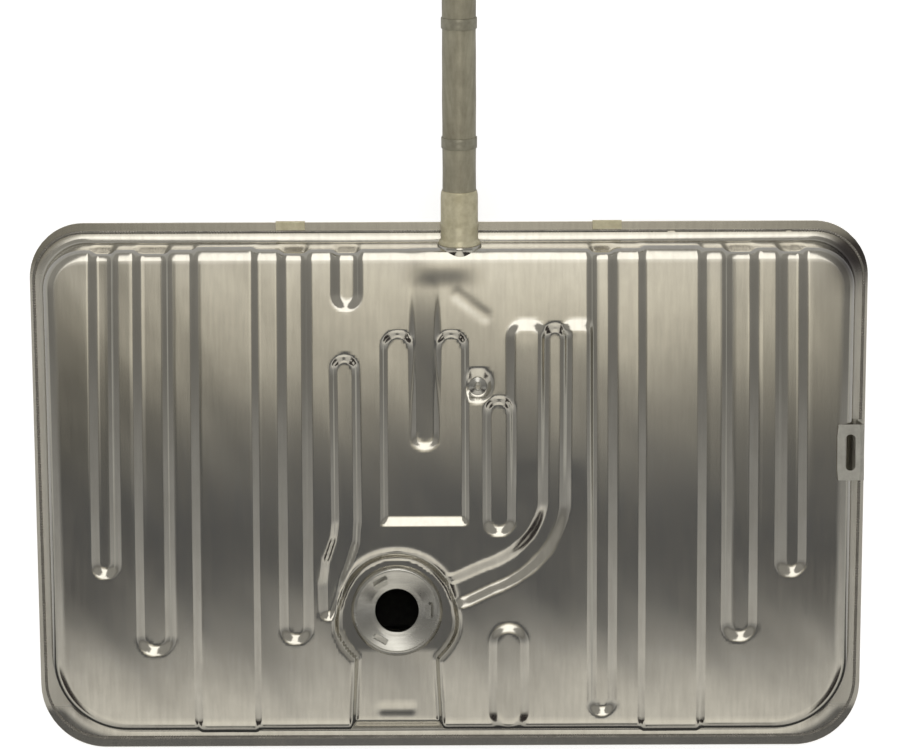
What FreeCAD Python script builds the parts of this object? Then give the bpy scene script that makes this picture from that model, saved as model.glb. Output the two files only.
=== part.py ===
"""Car fuel tank, stamped from two sheet-steel halves that are seam-welded at a flange.

Frame: +Z up, +Y towards the rear of the car (the side of the filler neck), +X to the right.
The origin is the middle of the flat underside that the tank rests on. Sizes are millimetres.
"""
import FreeCAD, Part
import math
import os
import Sketcher

Vector = FreeCAD.Vector
Rotation = FreeCAD.Rotation
Placement = FreeCAD.Placement

doc = FreeCAD.newDocument("fuel_tank")

# Driving sizes: alias, value in millimetres or degrees, and what it is
SIZES = (
    ("rear_half_width", 517.5, "centre line to the flange edge, at the rear"),
    ("front_half_width", 509.5, "centre line to the flange edge, at the front"),
    ("half_length", 327, "origin to the flange edge, front and rear"),
    ("flange_width", 13, "seam flange at the sides, wall to edge"),
    ("flange_ends", 21, "seam flange at the front and rear, wall to edge"),
    ("flange_corner", 68, "radius of the flange's rear corners"),
    ("front_corner", 80, "radius of the flange's front corners"),
    ("wall_corner", 60, "radius of the walls' rear corners at the seam"),
    ("front_wall_corner", 100, "radius of the walls' front corners at the seam"),
    ("sheet", 1, "thickness of the pressed sheet"),
    ("seam_height", 98, "underside to the seam between the halves"),
    ("upper_depth", 70, "seam to the highest point of the top"),
    ("wall_draft", 12, "lean of the upper walls, degrees"),
    ("lower_draft", 11, "lean of the lower walls, degrees"),
    ("crest_radius", 14, "rounding from the top to the walls"),
    ("floor_radius", 12, "rounding from the floor to the walls"),
    ("crown_radius", 4800, "fore and aft curve of the top"),
    ("crown_centre", 22, "where along the tank the top is highest"),
    ("floor_front", 200, "origin to where the floor starts to rise, forwards"),
    ("floor_rear", 160, "origin to where the floor starts to rise, rearwards"),
    ("front_curve", 380, "radius of the floor's rise at the front"),
    ("rear_curve", 300, "radius of the floor's rise at the rear"),
    ("groove_depth", 5, "depth of the pressed grooves"),
    ("pad_rise", 3.5, "height of the raised pads and beads"),
    ("outer_groove_left", -419.5, "centre of the left outer groove"),
    ("outer_groove_width", 21, "width of the two outer grooves"),
    ("outer_groove_end", -100, "front end of the left outer groove"),
    ("outer_groove_right", 415, "centre of the right outer groove"),
    ("outer_groove_right_end", -100, "front end of the right outer groove"),
    ("wide_groove_left", -359.5, "centre of the left wide groove"),
    ("wide_groove_width", 32, "width of the two wide grooves"),
    ("wide_groove_end", -195, "front end of the left wide groove"),
    ("wide_groove_right", 353, "centre of the right wide groove"),
    ("wide_groove_right_end", -180, "front end of the right wide groove"),
    ("inner_groove_x", -188, "centre of the left inner groove"),
    ("inner_groove_width", 27, "width of the inner grooves"),
    ("inner_groove_end", -182, "front end of the left inner groove"),
    ("long_groove_x", 185.5, "centre of the long groove right of the middle"),
    ("long_groove_width", 22, "width of the long groove"),
    ("long_groove_gap", 55, "front flange edge to the long groove's end"),
    ("line_groove_x", -125, "centre of the two left line channels"),
    ("line_groove_width", 26, "width of the left line channels"),
    ("line_stub_gap", 100, "rear flange edge to the short line channel's end"),
    ("line_groove_start", 162, "rear end of the long line channel"),
    ("short_groove_x", 60, "centre of the short middle groove"),
    ("short_groove_width", 27, "width of the short middle groove"),
    ("short_groove_start", 112, "rear end of the short middle groove"),
    ("short_groove_end", -49, "front end of the short middle groove"),
    ("hose_channel_x", 128, "centre of the straight part of the curved channel"),
    ("hose_channel_width", 24, "width of the curved channel"),
    ("hose_channel_start", 198, "rear end of the curved channel"),
    ("hose_bend_radius", 108, "centre-line radius of the curved channel"),
    ("hose_bend_y", -20, "where the curved channel starts to turn"),
    ("tongue_x", -30, "centre of the tongue and the pocket round it"),
    ("tongue_width", 32, "width of the tongue"),
    ("tongue_end", 55, "front end of the tongue"),
    ("pocket_width", 99, "width of the pocket round the tongue"),
    ("pocket_start", 193, "rear end of the pocket"),
    ("pocket_end", -36, "front end of the pocket"),
    ("pocket_corner", 12, "radius of the pocket's front corners"),
    ("sender_x", -65, "sender opening, sideways"),
    ("sender_y", -147, "sender opening, along the tank"),
    ("sender_radius", 26.5, "radius of the sender opening"),
    ("recess_radius", 77, "radius of the recess round the sender"),
    ("recess_floor", 153, "height of the recess floor"),
    ("recess_channel", 97, "width of the recess where it runs out forwards"),
    ("slot_gap", 58, "front flange edge to the pressed slot"),
    ("slot_length", 50, "length of the pressed slot"),
    ("slot_width", 7, "width of the pressed slot"),
    ("slot_depth", 2, "depth of the pressed slot"),
    ("pad_left", -271.5, "centre of the left raised pad"),
    ("pad_right", 270, "centre of the right raised pad"),
    ("pad_width", 73, "width of the raised pads"),
    ("pad_front_gap", 45, "front flange edge to the raised pads"),
    ("pad_rear_gap", 51, "rear flange edge to the raised pads"),
    ("bead_one_x", 95, "centre of the left rear bead"),
    ("bead_two_x", 157, "centre of the right rear bead"),
    ("bead_width", 43, "width of the left rear bead"),
    ("bead_two_width", 34, "width of the right rear bead"),
    ("bead_start", 203, "rear end of the rear beads"),
    ("bead_end", -10, "front end of the rear beads"),
    ("front_bead_x", 71, "centre of the front bead"),
    ("front_bead_width", 39, "width of the front bead"),
    ("front_bead_start", -167, "rear end of the front bead"),
    ("front_bead_gap", 41, "front flange edge to the front bead"),
    ("strap_x", 270, "centre of the strap channels in the floor"),
    ("strap_channel", 64, "width of the strap channels"),
    ("strap_depth", 7, "depth of the strap channels"),
    ("floor_groove_x", 150, "centre of the outer floor grooves"),
    ("floor_groove_inner", 50, "centre of the inner floor grooves"),
    ("floor_groove_width", 26, "width of the floor grooves"),
    ("floor_groove_front", -170, "front end of the outer floor grooves"),
    ("floor_groove_middle", -60, "front end of the inner floor grooves"),
    ("floor_groove_rear", 130, "rear end of the floor grooves"),
    ("lip_gap", 4, "strap guide to the near end of a turned lip"),
    ("lip_length", 124, "length of a turned lip"),
    ("lip_drop", 8, "height of the turned lips under the rear flange"),
    ("neck_x", 13, "filler neck, sideways"),
    ("neck_setback", 25, "rear flange edge to where the neck's axis leaves its seat"),
    ("neck_height", 138, "height of the neck's axis at its seat"),
    ("neck_rise", 12, "slope of the neck, degrees"),
    ("neck_radius", 20.3, "outside radius of the neck tube"),
    ("neck_wall", 1.2, "wall of the neck tube"),
    ("neck_length", 325, "length of the neck tube from its seat"),
    ("neck_boss", 27, "radius of the pressed boss that the neck enters"),
    ("neck_boss_length", 40, "length of the pressed boss"),
    ("joint_gap", 0.1, "gap that the solder fills"),
    ("socket_wall", 2.3, "wall of the soldered socket"),
    ("socket_bead", 25, "radius of the socket's bead"),
    ("socket_bead_width", 4, "width of the socket's bead"),
    ("socket_length", 66, "length of the socket outside the tank"),
    ("socket_spigot", 12, "length of the socket inside the tank"),
    ("mouth_radius", 38, "outside radius of the filler mouth"),
    ("mouth_wall", 1.2, "wall of the filler mouth"),
    ("mouth_depth", 30, "depth of the filler mouth's cup"),
    ("mouth_opening", 25, "radius of the filler mouth's opening"),
    ("mouth_overlap", 11, "how far the mouth's sleeve covers the tube"),
    ("mouth_notch", 12, "width of the two cap notches"),
    ("vent_radius", 4.8, "outside radius of the vent tube"),
    ("vent_wall", 0.9, "wall of the vent tube"),
    ("vent_offset", 31, "neck axis to vent tube axis"),
    ("vent_reach", 8, "how far the vent tube reaches into the mouth"),
    ("vent_inside", 22, "vent tube inside the tank"),
    ("clip_width", 13, "width of the clips round neck and vent tube"),
    ("clip_sheet", 1.2, "thickness of the clips"),
    ("clip_low", 118, "lower clip, from the seat"),
    ("clip_high", 262, "upper clip, from the seat"),
    ("seat_radius", 56, "outside radius of the sender seat"),
    ("seat_crest", 50, "radius of the sender seat's crest"),
    ("seat_rise", 5, "height of the sender seat's crest"),
    ("seat_flat", 31, "radius where the sender seat's dish ends"),
    ("seat_sheet", 1.5, "thickness of the sender seat"),
    ("seat_collar", 9.5, "depth of the sender seat's bore"),
    ("ear_radius", 41, "radius to the seat's locking ears"),
    ("ear_width", 17, "width of a locking ear"),
    ("ear_height", 6, "height of a locking ear"),
    ("ear_reach", 6, "how far a locking ear reaches inwards"),
    ("nipple_x", 34.5, "vent nipple's base, sideways"),
    ("nipple_y", 129, "vent nipple's base, along the tank"),
    ("vent_dish", 16, "radius of the dish round the vent nipple"),
    ("vent_dish_depth", 3.5, "depth of the dish round the vent nipple"),
    ("nipple_base", 11, "radius of the vent nipple's base"),
    ("nipple_radius", 4, "outside radius of the vent nipple"),
    ("nipple_wall", 0.8, "wall of the vent nipple"),
    ("nipple_length", 16, "length of the vent nipple"),
    ("guide_x", 195, "centre line to a strap guide's middle"),
    ("guide_length", 36, "length of a strap guide"),
    ("guide_reach", 10, "how far a strap guide reaches over the flange"),
    ("guide_sheet", 1.2, "thickness of a strap guide"),
    ("bracket_y", 47, "middle of the side bracket, along the tank"),
    ("bracket_length", 68, "length of the side bracket"),
    ("bracket_sheet", 1.6, "thickness of the side bracket"),
    ("bracket_reach", 33, "side bracket, from its riser inwards"),
    ("bracket_slot", 12, "width of the bracket's slot"),
    ("baffle_x", 186, "centre line to a baffle"),
    ("baffle_front", -196, "front end of a baffle"),
    ("baffle_rear", 156, "rear end of a baffle"),
    ("baffle_height", 150, "height of a baffle's top above the underside"),
    ("baffle_hole", 27, "radius of the baffle's holes"),
    ("baffle_foot", 15, "width of a baffle's foot and top flange"),
    ("tray_length", 118, "pickup tray, sideways"),
    ("tray_width", 92, "pickup tray, along the tank"),
    ("tray_height", 26, "height of the pickup tray"),
    ("tray_corner", 16, "corner radius of the pickup tray"),
)

sheet = doc.addObject("Spreadsheet::Sheet", "Sizes")
for row, (alias, value, note) in enumerate(SIZES, start=1):
    sheet.set(f"A{row}", note)
    sheet.set(f"B{row}", str(value))
    sheet.setAlias(f"B{row}", alias)
doc.recompute()


def formula(words):
    """Turns plain names of sizes into references to their cells."""
    names = sorted((alias for alias, _, _ in SIZES), key=len, reverse=True)
    out = []
    token = ""
    for character in words + " ":
        if character.isalnum() or character == "_":
            token += character
            continue
        out.append(f"Sizes.{token}" if token in names else token)
        out.append(character)
        token = ""
    return "".join(out).strip()


def number(words):
    """The present value of a formula of sizes."""
    return float(sheet.evalExpression(formula(words)))


class Outline:
    """A sketch whose points and radii are driven by formulas of the sizes."""

    def __init__(self, name, body=None, plane="XY_Plane", height=None, turn=None):
        if body is None:
            self.sketch = doc.addObject("Sketcher::SketchObject", name)
            self.sketch.Placement = Placement(Vector(0, 0, 0), turn or Rotation())
            if height:
                self.sketch.setExpression("Placement.Base.z", formula(height))
        else:
            self.sketch = body.newObject("Sketcher::SketchObject", name)
            origin = [o for o in body.Origin.OriginFeatures if o.Role == plane][0]
            self.sketch.AttachmentSupport = (origin, "")
            self.sketch.MapMode = "FlatFace"
            if height:
                self.sketch.setExpression("AttachmentOffset.Base.z", formula(height))

    def at(self, x, y):
        return Vector(number(x), number(y), 0)

    def drive(self, words, *constraint):
        index = self.sketch.addConstraint(Sketcher.Constraint(*constraint, number(words)))
        self.sketch.setExpression(f"Constraints[{index}]", formula(words))

    def place(self, part, end, x, y):
        """Holds one end of a line, or an arc's centre, at x and y."""
        self.drive(x, "DistanceX", -1, 1, part, end)
        self.drive(y, "DistanceY", -1, 1, part, end)

    def circle(self, x, y, radius):
        ring = self.sketch.addGeometry(Part.Circle(self.at(x, y), Vector(0, 0, 1), number(radius)))
        self.place(ring, 3, x, y)
        self.drive(radius, "Radius", ring)
        return ring

    def polygon(self, points):
        """A closed chain of lines through points given as pairs of formulas."""
        count = len(points)
        lines = []
        for i in range(count):
            start, end = points[i], points[(i + 1) % count]
            lines.append(self.sketch.addGeometry(Part.LineSegment(self.at(*start), self.at(*end))))
        for i in range(count):
            self.sketch.addConstraint(
                Sketcher.Constraint("Coincident", lines[i], 2, lines[(i + 1) % count], 1)
            )
        for line, (x, y) in zip(lines, points):
            self.place(line, 1, x, y)
        return lines

    def slot(self, x, width, low, high):
        """A slot along Y with round ends that reach from low to high."""
        radius = f"(({width}) / 2)"
        top, bottom = f"({high}) - {radius}", f"({low}) + {radius}"
        r, cx = number(radius), number(x)
        cy_top, cy_low = number(top), number(bottom)
        up = Vector(0, 0, 1)
        head = self.sketch.addGeometry(
            Part.ArcOfCircle(Part.Circle(Vector(cx, cy_top, 0), up, r), 0, math.pi)
        )
        left = self.sketch.addGeometry(
            Part.LineSegment(Vector(cx - r, cy_top, 0), Vector(cx - r, cy_low, 0))
        )
        tail = self.sketch.addGeometry(
            Part.ArcOfCircle(Part.Circle(Vector(cx, cy_low, 0), up, r), math.pi, 2 * math.pi)
        )
        right = self.sketch.addGeometry(
            Part.LineSegment(Vector(cx + r, cy_low, 0), Vector(cx + r, cy_top, 0))
        )
        for a, b in ((head, left), (left, tail), (tail, right), (right, head)):
            self.sketch.addConstraint(Sketcher.Constraint("Tangent", a, 2, b, 1))
        self.place(head, 3, x, top)
        self.drive(bottom, "DistanceY", -1, 1, tail, 3)
        self.drive(radius, "Radius", head)

    def rounded(self, corners, radii):
        """A closed outline with straight sides and a rounding at each corner."""
        count = len(corners)
        points = [self.at(*corner) for corner in corners]
        sizes = [number(radius) for radius in radii]
        starts, ends, arcs = [], [], []
        for i in range(count):
            before = (points[i - 1] - points[i]).normalize()
            after = (points[(i + 1) % count] - points[i]).normalize()
            half = before.getAngle(after) / 2
            reach = sizes[i] / math.tan(half)
            centre = points[i] + (before + after).normalize() * (sizes[i] / math.sin(half))
            starts.append(points[i] + before * reach)
            ends.append(points[i] + after * reach)
            a, b = starts[i] - centre, ends[i] - centre
            turn = before.cross(after).z < 0
            first, last = (a, b) if turn else (b, a)
            angles = [math.atan2(v.y, v.x) for v in (first, last)]
            circle = Part.Circle(centre, Vector(0, 0, 1), sizes[i])
            arcs.append((self.sketch.addGeometry(Part.ArcOfCircle(circle, *angles)), turn))
        lines = [
            self.sketch.addGeometry(Part.LineSegment(ends[i], starts[(i + 1) % count]))
            for i in range(count)
        ]
        for i in range(count):
            arc, turn = arcs[i]
            near, far = (1, 2) if turn else (2, 1)
            self.sketch.addConstraint(Sketcher.Constraint("Tangent", lines[i - 1], 2, arc, near))
            self.sketch.addConstraint(Sketcher.Constraint("Tangent", arc, far, lines[i], 1))
            self.drive(radii[i], "Radius", arc)
            mark = self.sketch.addGeometry(Part.Point(points[i]), True)
            self.sketch.addConstraint(Sketcher.Constraint("PointOnObject", mark, 1, lines[i - 1]))
            self.sketch.addConstraint(Sketcher.Constraint("PointOnObject", mark, 1, lines[i]))
            self.place(mark, 1, *corners[i])
        return lines


def extrude(name, outline, height, downwards=False, draft=None, both=False):
    """A solid extrusion of a sketch along its normal."""
    block = doc.addObject("Part::Extrusion", name)
    block.Base = outline.sketch
    block.DirMode = "Normal"
    block.Solid = True
    block.Reversed = downwards
    block.Symmetric = both
    block.setExpression("LengthFwd", formula(height))
    if draft:
        block.setExpression("TaperAngle", formula(draft))
    return block


def combine(kind, name, base, tool):
    """A boolean of two objects."""
    made = doc.addObject(f"Part::{kind}", name)
    made.Base = base
    made.Tool = tool
    doc.recompute()
    return made


def fused(name, shapes):
    """One solid from several overlapping objects."""
    made = doc.addObject("Part::MultiFuse", name)
    made.Shapes = shapes
    doc.recompute()
    return made


def rounded_edges(name, base, edges, radius):
    """Rounds the edges for which the test holds."""
    made = doc.addObject("Part::Fillet", name)
    made.Base = base
    amount = number(radius)
    made.Edges = [(i, amount, amount) for i, edge in enumerate(base.Shape.Edges, start=1) if edges(edge)]
    doc.recompute()
    return made


# Curve of the top, as seen from the side
SIDE_PLANE = Rotation(Vector(1, 1, 1), 120)
TOP = "(seam_height + upper_depth)"
FAR = "(half_length + 60)"
NECK_Y = "(half_length - neck_setback)"
DISH_FLOOR = f"({TOP} - (nipple_y - crown_centre) ^ 2 / (2 * crown_radius) - vent_dish_depth)"


def crown_block(name, drop):
    """Everything below the top's curve, lowered by drop."""
    outline = Outline(name + "_sketch", turn=SIDE_PLANE)
    sketch = outline.sketch
    centre_z = f"{TOP} - crown_radius - ({drop})"
    centre = outline.at("crown_centre", centre_z)
    radius = number("crown_radius")
    reach = number(FAR)
    floor = number("seam_height") - 60

    def on_curve(y):
        return Vector(y, centre.y + math.sqrt(radius**2 - (y - centre.x) ** 2), 0)

    rear, front = on_curve(reach), on_curve(-reach)
    angles = [math.atan2(p.y - centre.y, p.x - centre.x) for p in (rear, front)]
    arc = sketch.addGeometry(Part.ArcOfCircle(Part.Circle(centre, Vector(0, 0, 1), radius), *angles))
    down = sketch.addGeometry(Part.LineSegment(front, Vector(-reach, floor, 0)))
    base = sketch.addGeometry(Part.LineSegment(Vector(-reach, floor, 0), Vector(reach, floor, 0)))
    up = sketch.addGeometry(Part.LineSegment(Vector(reach, floor, 0), rear))
    for a, end_a, b, end_b in ((arc, 2, down, 1), (down, 2, base, 1), (base, 2, up, 1), (up, 2, arc, 1)):
        sketch.addConstraint(Sketcher.Constraint("Coincident", a, end_a, b, end_b))
    outline.place(arc, 3, "crown_centre", centre_z)
    outline.drive("crown_radius", "Radius", arc)
    outline.place(down, 2, f"-{FAR}", "seam_height - 60")
    outline.place(base, 2, FAR, "seam_height - 60")
    sketch.addConstraint(Sketcher.Constraint("Vertical", down))
    sketch.addConstraint(Sketcher.Constraint("Vertical", up))
    return extrude(name, outline, "rear_half_width * 2 + 200", both=True)


def plan(name, side, end, rear_corner, front_corner):
    """The tank's outline in plan, drawn in from the flange's edge at its sides and ends."""
    rear = f"(rear_half_width - ({side}))"
    front = f"(front_half_width - ({side}))"
    length = f"(half_length - ({end}))"
    outline = Outline(name, height="seam_height")
    corners = ((f"-{rear}", length), (f"-{front}", f"-{length}"), (front, f"-{length}"), (rear, length))
    outline.rounded(corners, (rear_corner, front_corner, front_corner, rear_corner))
    return outline


def wall_plan(name, inset):
    """The outline of the walls at the seam, drawn in by inset."""
    corners = (f"wall_corner - {inset}", f"front_wall_corner - {inset}")
    return plan(name, f"flange_width + {inset}", f"flange_ends + {inset}", *corners)


def top_plan(edge):
    """True for the edges where the crowned top meets the walls."""
    middle = edge.valueAt((edge.FirstParameter + edge.LastParameter) / 2)
    return middle.z > number("seam_height + upper_depth / 2") and not is_upright(edge)


def is_upright(edge):
    """True for an edge that climbs a wall."""
    ends = [vertex.Point for vertex in edge.Vertexes]
    if len(ends) < 2:
        return False
    span = ends[1] - ends[0]
    return abs(span.z) > 0.6 * span.Length


def pan(name, inset, drop):
    """The upper half's block, with its crown and its rounded crest."""
    outline = wall_plan(name + "_plan", inset)
    block = extrude(name + "_block", outline, "upper_depth + 20", draft="-wall_draft")
    crowned = combine("Common", name + "_crowned", block, crown_block(name + "_crown", drop))
    return rounded_edges(name, crowned, top_plan, f"crest_radius - {inset}")


def groove_prisms(name, grow):
    """All narrow grooves of the top, as upright prisms that are grow wider all round."""
    wide = f" + 2 * {grow}"
    beyond = "half_length + 20"
    outline = Outline(name + "_sketch", height="seam_height")
    slots = (
        ("outer_groove_left", "outer_groove_width", "outer_groove_end", beyond),
        ("wide_groove_left", "wide_groove_width", "wide_groove_end", beyond),
        ("inner_groove_x", "inner_groove_width", "inner_groove_end", beyond),
        ("line_groove_x", "line_groove_width", "(half_length - line_stub_gap)", beyond),
        ("line_groove_x", "line_groove_width", "sender_y + 20", "line_groove_start"),
        ("short_groove_x", "short_groove_width", "short_groove_end", "short_groove_start"),
        ("long_groove_x", "long_groove_width", "(long_groove_gap - half_length)", beyond),
        ("wide_groove_right", "wide_groove_width", "wide_groove_right_end", beyond),
        ("outer_groove_right", "outer_groove_width", "outer_groove_right_end", beyond),
    )
    for x, width, low, high in slots:
        outline.slot(x, width + wide, f"{low} - {grow}", f"{high} + {grow}")
    hose_channel(outline, grow)
    tongue_pocket(outline, grow)
    return extrude(name, outline, "upper_depth + 20")


def hose_channel(outline, grow):
    """The channel that runs forwards and bends into the sender's recess."""
    sketch = outline.sketch
    half = f"(hose_channel_width / 2 + {grow})"
    bend_x = "(hose_channel_x - hose_bend_radius)"
    outer, inner = f"(hose_bend_radius + {half})", f"(hose_bend_radius - {half})"
    end_x = "(sender_x + recess_radius - 14)"
    top = f"(hose_channel_start + {grow})"
    centre = outline.at(bend_x, "hose_bend_y")
    r_out, r_in = number(outer), number(inner)
    up = Vector(0, 0, 1)
    big = sketch.addGeometry(Part.ArcOfCircle(Part.Circle(centre, up, r_out), 1.5 * math.pi, 2 * math.pi))
    small = sketch.addGeometry(Part.ArcOfCircle(Part.Circle(centre, up, r_in), 1.5 * math.pi, 2 * math.pi))
    x_out, x_in = centre.x + r_out, centre.x + r_in
    y_top, y_bend, x_end = number(top), centre.y, number(end_x)
    points = (
        (Vector(x_out, y_bend, 0), Vector(x_out, y_top, 0)),
        (Vector(x_out, y_top, 0), Vector(x_in, y_top, 0)),
        (Vector(x_in, y_top, 0), Vector(x_in, y_bend, 0)),
        (Vector(centre.x, y_bend - r_in, 0), Vector(x_end, y_bend - r_in, 0)),
        (Vector(x_end, y_bend - r_in, 0), Vector(x_end, y_bend - r_out, 0)),
        (Vector(x_end, y_bend - r_out, 0), Vector(centre.x, y_bend - r_out, 0)),
    )
    right, head, left, low, tail, under = [sketch.addGeometry(Part.LineSegment(a, b)) for a, b in points]
    tangents = ((big, 2, right, 1), (left, 2, small, 2), (small, 1, low, 1), (under, 2, big, 1))
    for a, end_a, b, end_b in tangents:
        sketch.addConstraint(Sketcher.Constraint("Tangent", a, end_a, b, end_b))
    for a, b in ((right, head), (head, left), (low, tail), (tail, under)):
        sketch.addConstraint(Sketcher.Constraint("Coincident", a, 2, b, 1))
    sketch.addConstraint(Sketcher.Constraint("Coincident", big, 3, small, 3))
    sketch.addConstraint(Sketcher.Constraint("Horizontal", head))
    sketch.addConstraint(Sketcher.Constraint("Vertical", right))
    sketch.addConstraint(Sketcher.Constraint("Vertical", tail))
    sketch.addConstraint(Sketcher.Constraint("Horizontal", under))
    outline.place(big, 3, bend_x, "hose_bend_y")
    outline.drive(outer, "Radius", big)
    outline.drive(inner, "Radius", small)
    outline.drive(top, "DistanceY", -1, 1, right, 2)
    outline.drive(end_x, "DistanceX", -1, 1, tail, 1)


def tongue_pocket(outline, grow):
    """The pocket that lies round the tongue in front of the neck."""
    sketch = outline.sketch
    half = f"(pocket_width / 2 + {grow})"
    tongue = f"(tongue_width / 2 - {grow})"
    finger = f"(({half} - {tongue}) / 2)"
    corner = f"(pocket_corner + {grow})"
    rear = f"(pocket_start + {grow} - {finger})"
    nose = f"(tongue_end + {tongue} + {grow})"
    front = f"(pocket_end - {grow})"
    x = number("tongue_x")
    h, t, f, c = number(half), number(tongue), number(finger), number(corner)
    y_rear, y_nose, y_front = number(rear), number(nose), number(front)
    up = Vector(0, 0, 1)

    def arc(cx, cy, radius, first, last):
        circle = Part.Circle(Vector(cx, cy, 0), up, radius)
        return sketch.addGeometry(Part.ArcOfCircle(circle, first * math.pi, last * math.pi))

    def line(x0, y0, x1, y1):
        return sketch.addGeometry(Part.LineSegment(Vector(x0, y0, 0), Vector(x1, y1, 0)))

    left_finger = arc(x - t - f, y_rear, f, 0, 1)
    right_finger = arc(x + t + f, y_rear, f, 0, 1)
    tip = arc(x, y_nose, t, 1, 2)
    left_corner = arc(x - h + c, y_front + c, c, 1, 1.5)
    right_corner = arc(x + h - c, y_front + c, c, 1.5, 2)
    outer_left = line(x - h, y_rear, x - h, y_front + c)
    front_line = line(x - h + c, y_front, x + h - c, y_front)
    outer_right = line(x + h, y_front + c, x + h, y_rear)
    inner_right = line(x + t, y_rear, x + t, y_nose)
    inner_left = line(x - t, y_nose, x - t, y_rear)
    chain = (
        (left_finger, 2, outer_left, 1), (outer_left, 2, left_corner, 1),
        (left_corner, 2, front_line, 1), (front_line, 2, right_corner, 1),
        (right_corner, 2, outer_right, 1), (outer_right, 2, right_finger, 1),
        (right_finger, 2, inner_right, 1), (inner_right, 2, tip, 2),
        (tip, 1, inner_left, 1), (inner_left, 2, left_finger, 1),
    )
    for a, end_a, b, end_b in chain:
        sketch.addConstraint(Sketcher.Constraint("Tangent", a, end_a, b, end_b))
    outline.place(tip, 3, "tongue_x", nose)
    outline.drive(tongue, "Radius", tip)
    outline.drive(rear, "DistanceY", -1, 1, left_finger, 3)
    outline.drive(rear, "DistanceY", -1, 1, right_finger, 3)
    outline.drive(finger, "Radius", left_finger)
    outline.drive(finger, "Radius", right_finger)
    outline.drive(corner, "Radius", left_corner)
    outline.drive(corner, "Radius", right_corner)
    outline.drive(f"{front} + {corner}", "DistanceY", -1, 1, left_corner, 3)


def raised_prisms(name, grow):
    """The pads and beads of the top, as upright prisms that are grow wider all round."""
    wide = f" + 2 * {grow}"
    outline = Outline(name + "_sketch", height="seam_height + upper_depth / 2")
    for x in ("pad_left", "pad_right"):
        half = f"(pad_width / 2 + {grow})"
        sides = (f"({x} - {half})", f"({x} + {half})")
        ends = (f"(pad_front_gap - half_length - {grow})", f"(half_length - pad_rear_gap + {grow})")
        corners = ((sides[0], ends[1]), (sides[0], ends[0]), (sides[1], ends[0]), (sides[1], ends[1]))
        outline.rounded(corners, ("pocket_corner",) * 4)
    slots = (
        ("bead_one_x", "bead_width", "bead_end", "bead_start"),
        ("bead_two_x", "bead_two_width", "bead_end", "bead_start"),
        ("front_bead_x", "front_bead_width", "(front_bead_gap - half_length)", "front_bead_start"),
    )
    for x, width, low, high in slots:
        outline.slot(x, width + wide, f"{low} - {grow}", f"{high} + {grow}")
    return extrude(name, outline, "upper_depth")


def flat_recesses(name, grow):
    """The flat-floored recess round the sender, which runs out at the front, and the vent's dish."""
    floor = f"recess_floor - {grow}"
    dish = doc.addObject("Part::Cylinder", name + "_dish")
    dish.setExpression("Radius", formula(f"recess_radius + {grow}"))
    dish.setExpression("Height", formula("upper_depth"))
    dish.setExpression("Placement.Base.x", formula("sender_x"))
    dish.setExpression("Placement.Base.y", formula("sender_y"))
    dish.setExpression("Placement.Base.z", formula(floor))
    channel = doc.addObject("Part::Box", name + "_channel")
    channel.setExpression("Length", formula(f"recess_channel + 2 * {grow}"))
    channel.setExpression("Width", formula("half_length + 40 + sender_y"))
    channel.setExpression("Height", formula("upper_depth"))
    channel.setExpression("Placement.Base.x", formula(f"sender_x - recess_channel / 2 - {grow}"))
    channel.setExpression("Placement.Base.y", formula("-half_length - 40"))
    channel.setExpression("Placement.Base.z", formula(floor))
    slot = doc.addObject("Part::Box", name + "_slot")
    slot.setExpression("Length", formula(f"slot_length + 2 * {grow}"))
    slot.setExpression("Width", formula(f"slot_width + 2 * {grow}"))
    slot.setExpression("Height", formula("upper_depth"))
    slot.setExpression("Placement.Base.x", formula(f"sender_x - slot_length / 2 - {grow}"))
    slot.setExpression("Placement.Base.y", formula(f"slot_gap - half_length - slot_width / 2 - {grow}"))
    slot.setExpression("Placement.Base.z", formula(f"{floor} - slot_depth"))
    vent = doc.addObject("Part::Cylinder", name + "_vent_dish")
    vent.setExpression("Radius", formula(f"vent_dish + {grow}"))
    vent.setExpression("Height", formula("upper_depth"))
    vent.setExpression("Placement.Base.x", formula("nipple_x"))
    vent.setExpression("Placement.Base.y", formula("nipple_y"))
    vent.setExpression("Placement.Base.z", formula(f"{DISH_FLOOR} - {grow}"))
    doc.recompute()
    return fused(name, [dish, channel, slot, vent])


def tip_placement(obj, along="0", sideways="0"):
    """Puts an object that stands on its own Z axis onto the neck's axis."""
    rise = "neck_rise"
    obj.Placement = Placement(Vector(0, 0, 0), Rotation(Vector(1, 0, 0), -90))
    obj.setExpression("Placement.Rotation.Angle", formula(f"(90 - {rise}) * 1 deg"))
    obj.setExpression("Placement.Rotation.Axis.x", "-1")
    obj.setExpression("Placement.Base.x", formula("neck_x"))
    sine, cosine = f"sin({rise} * 1 deg)", f"cos({rise} * 1 deg)"
    obj.setExpression(
        "Placement.Base.y", formula(f"{NECK_Y} + ({along}) * {cosine} + ({sideways}) * {sine}")
    )
    obj.setExpression(
        "Placement.Base.z", formula(f"neck_height + ({along}) * {sine} - ({sideways}) * {cosine}")
    )


def neck_cylinder(name, radius, start, length, sideways="0"):
    """A cylinder on the neck's axis, or beside it on its lower side."""
    rod = doc.addObject("Part::Cylinder", name)
    rod.setExpression("Radius", formula(radius))
    rod.setExpression("Height", formula(length))
    tip_placement(rod, start, sideways)
    return rod


def boss(name, inset):
    """The pressed boss that the neck enters."""
    length = f"neck_boss_length - {inset}"
    return neck_cylinder(name, f"neck_boss - {inset}", "-neck_boss_length", length)


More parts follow.
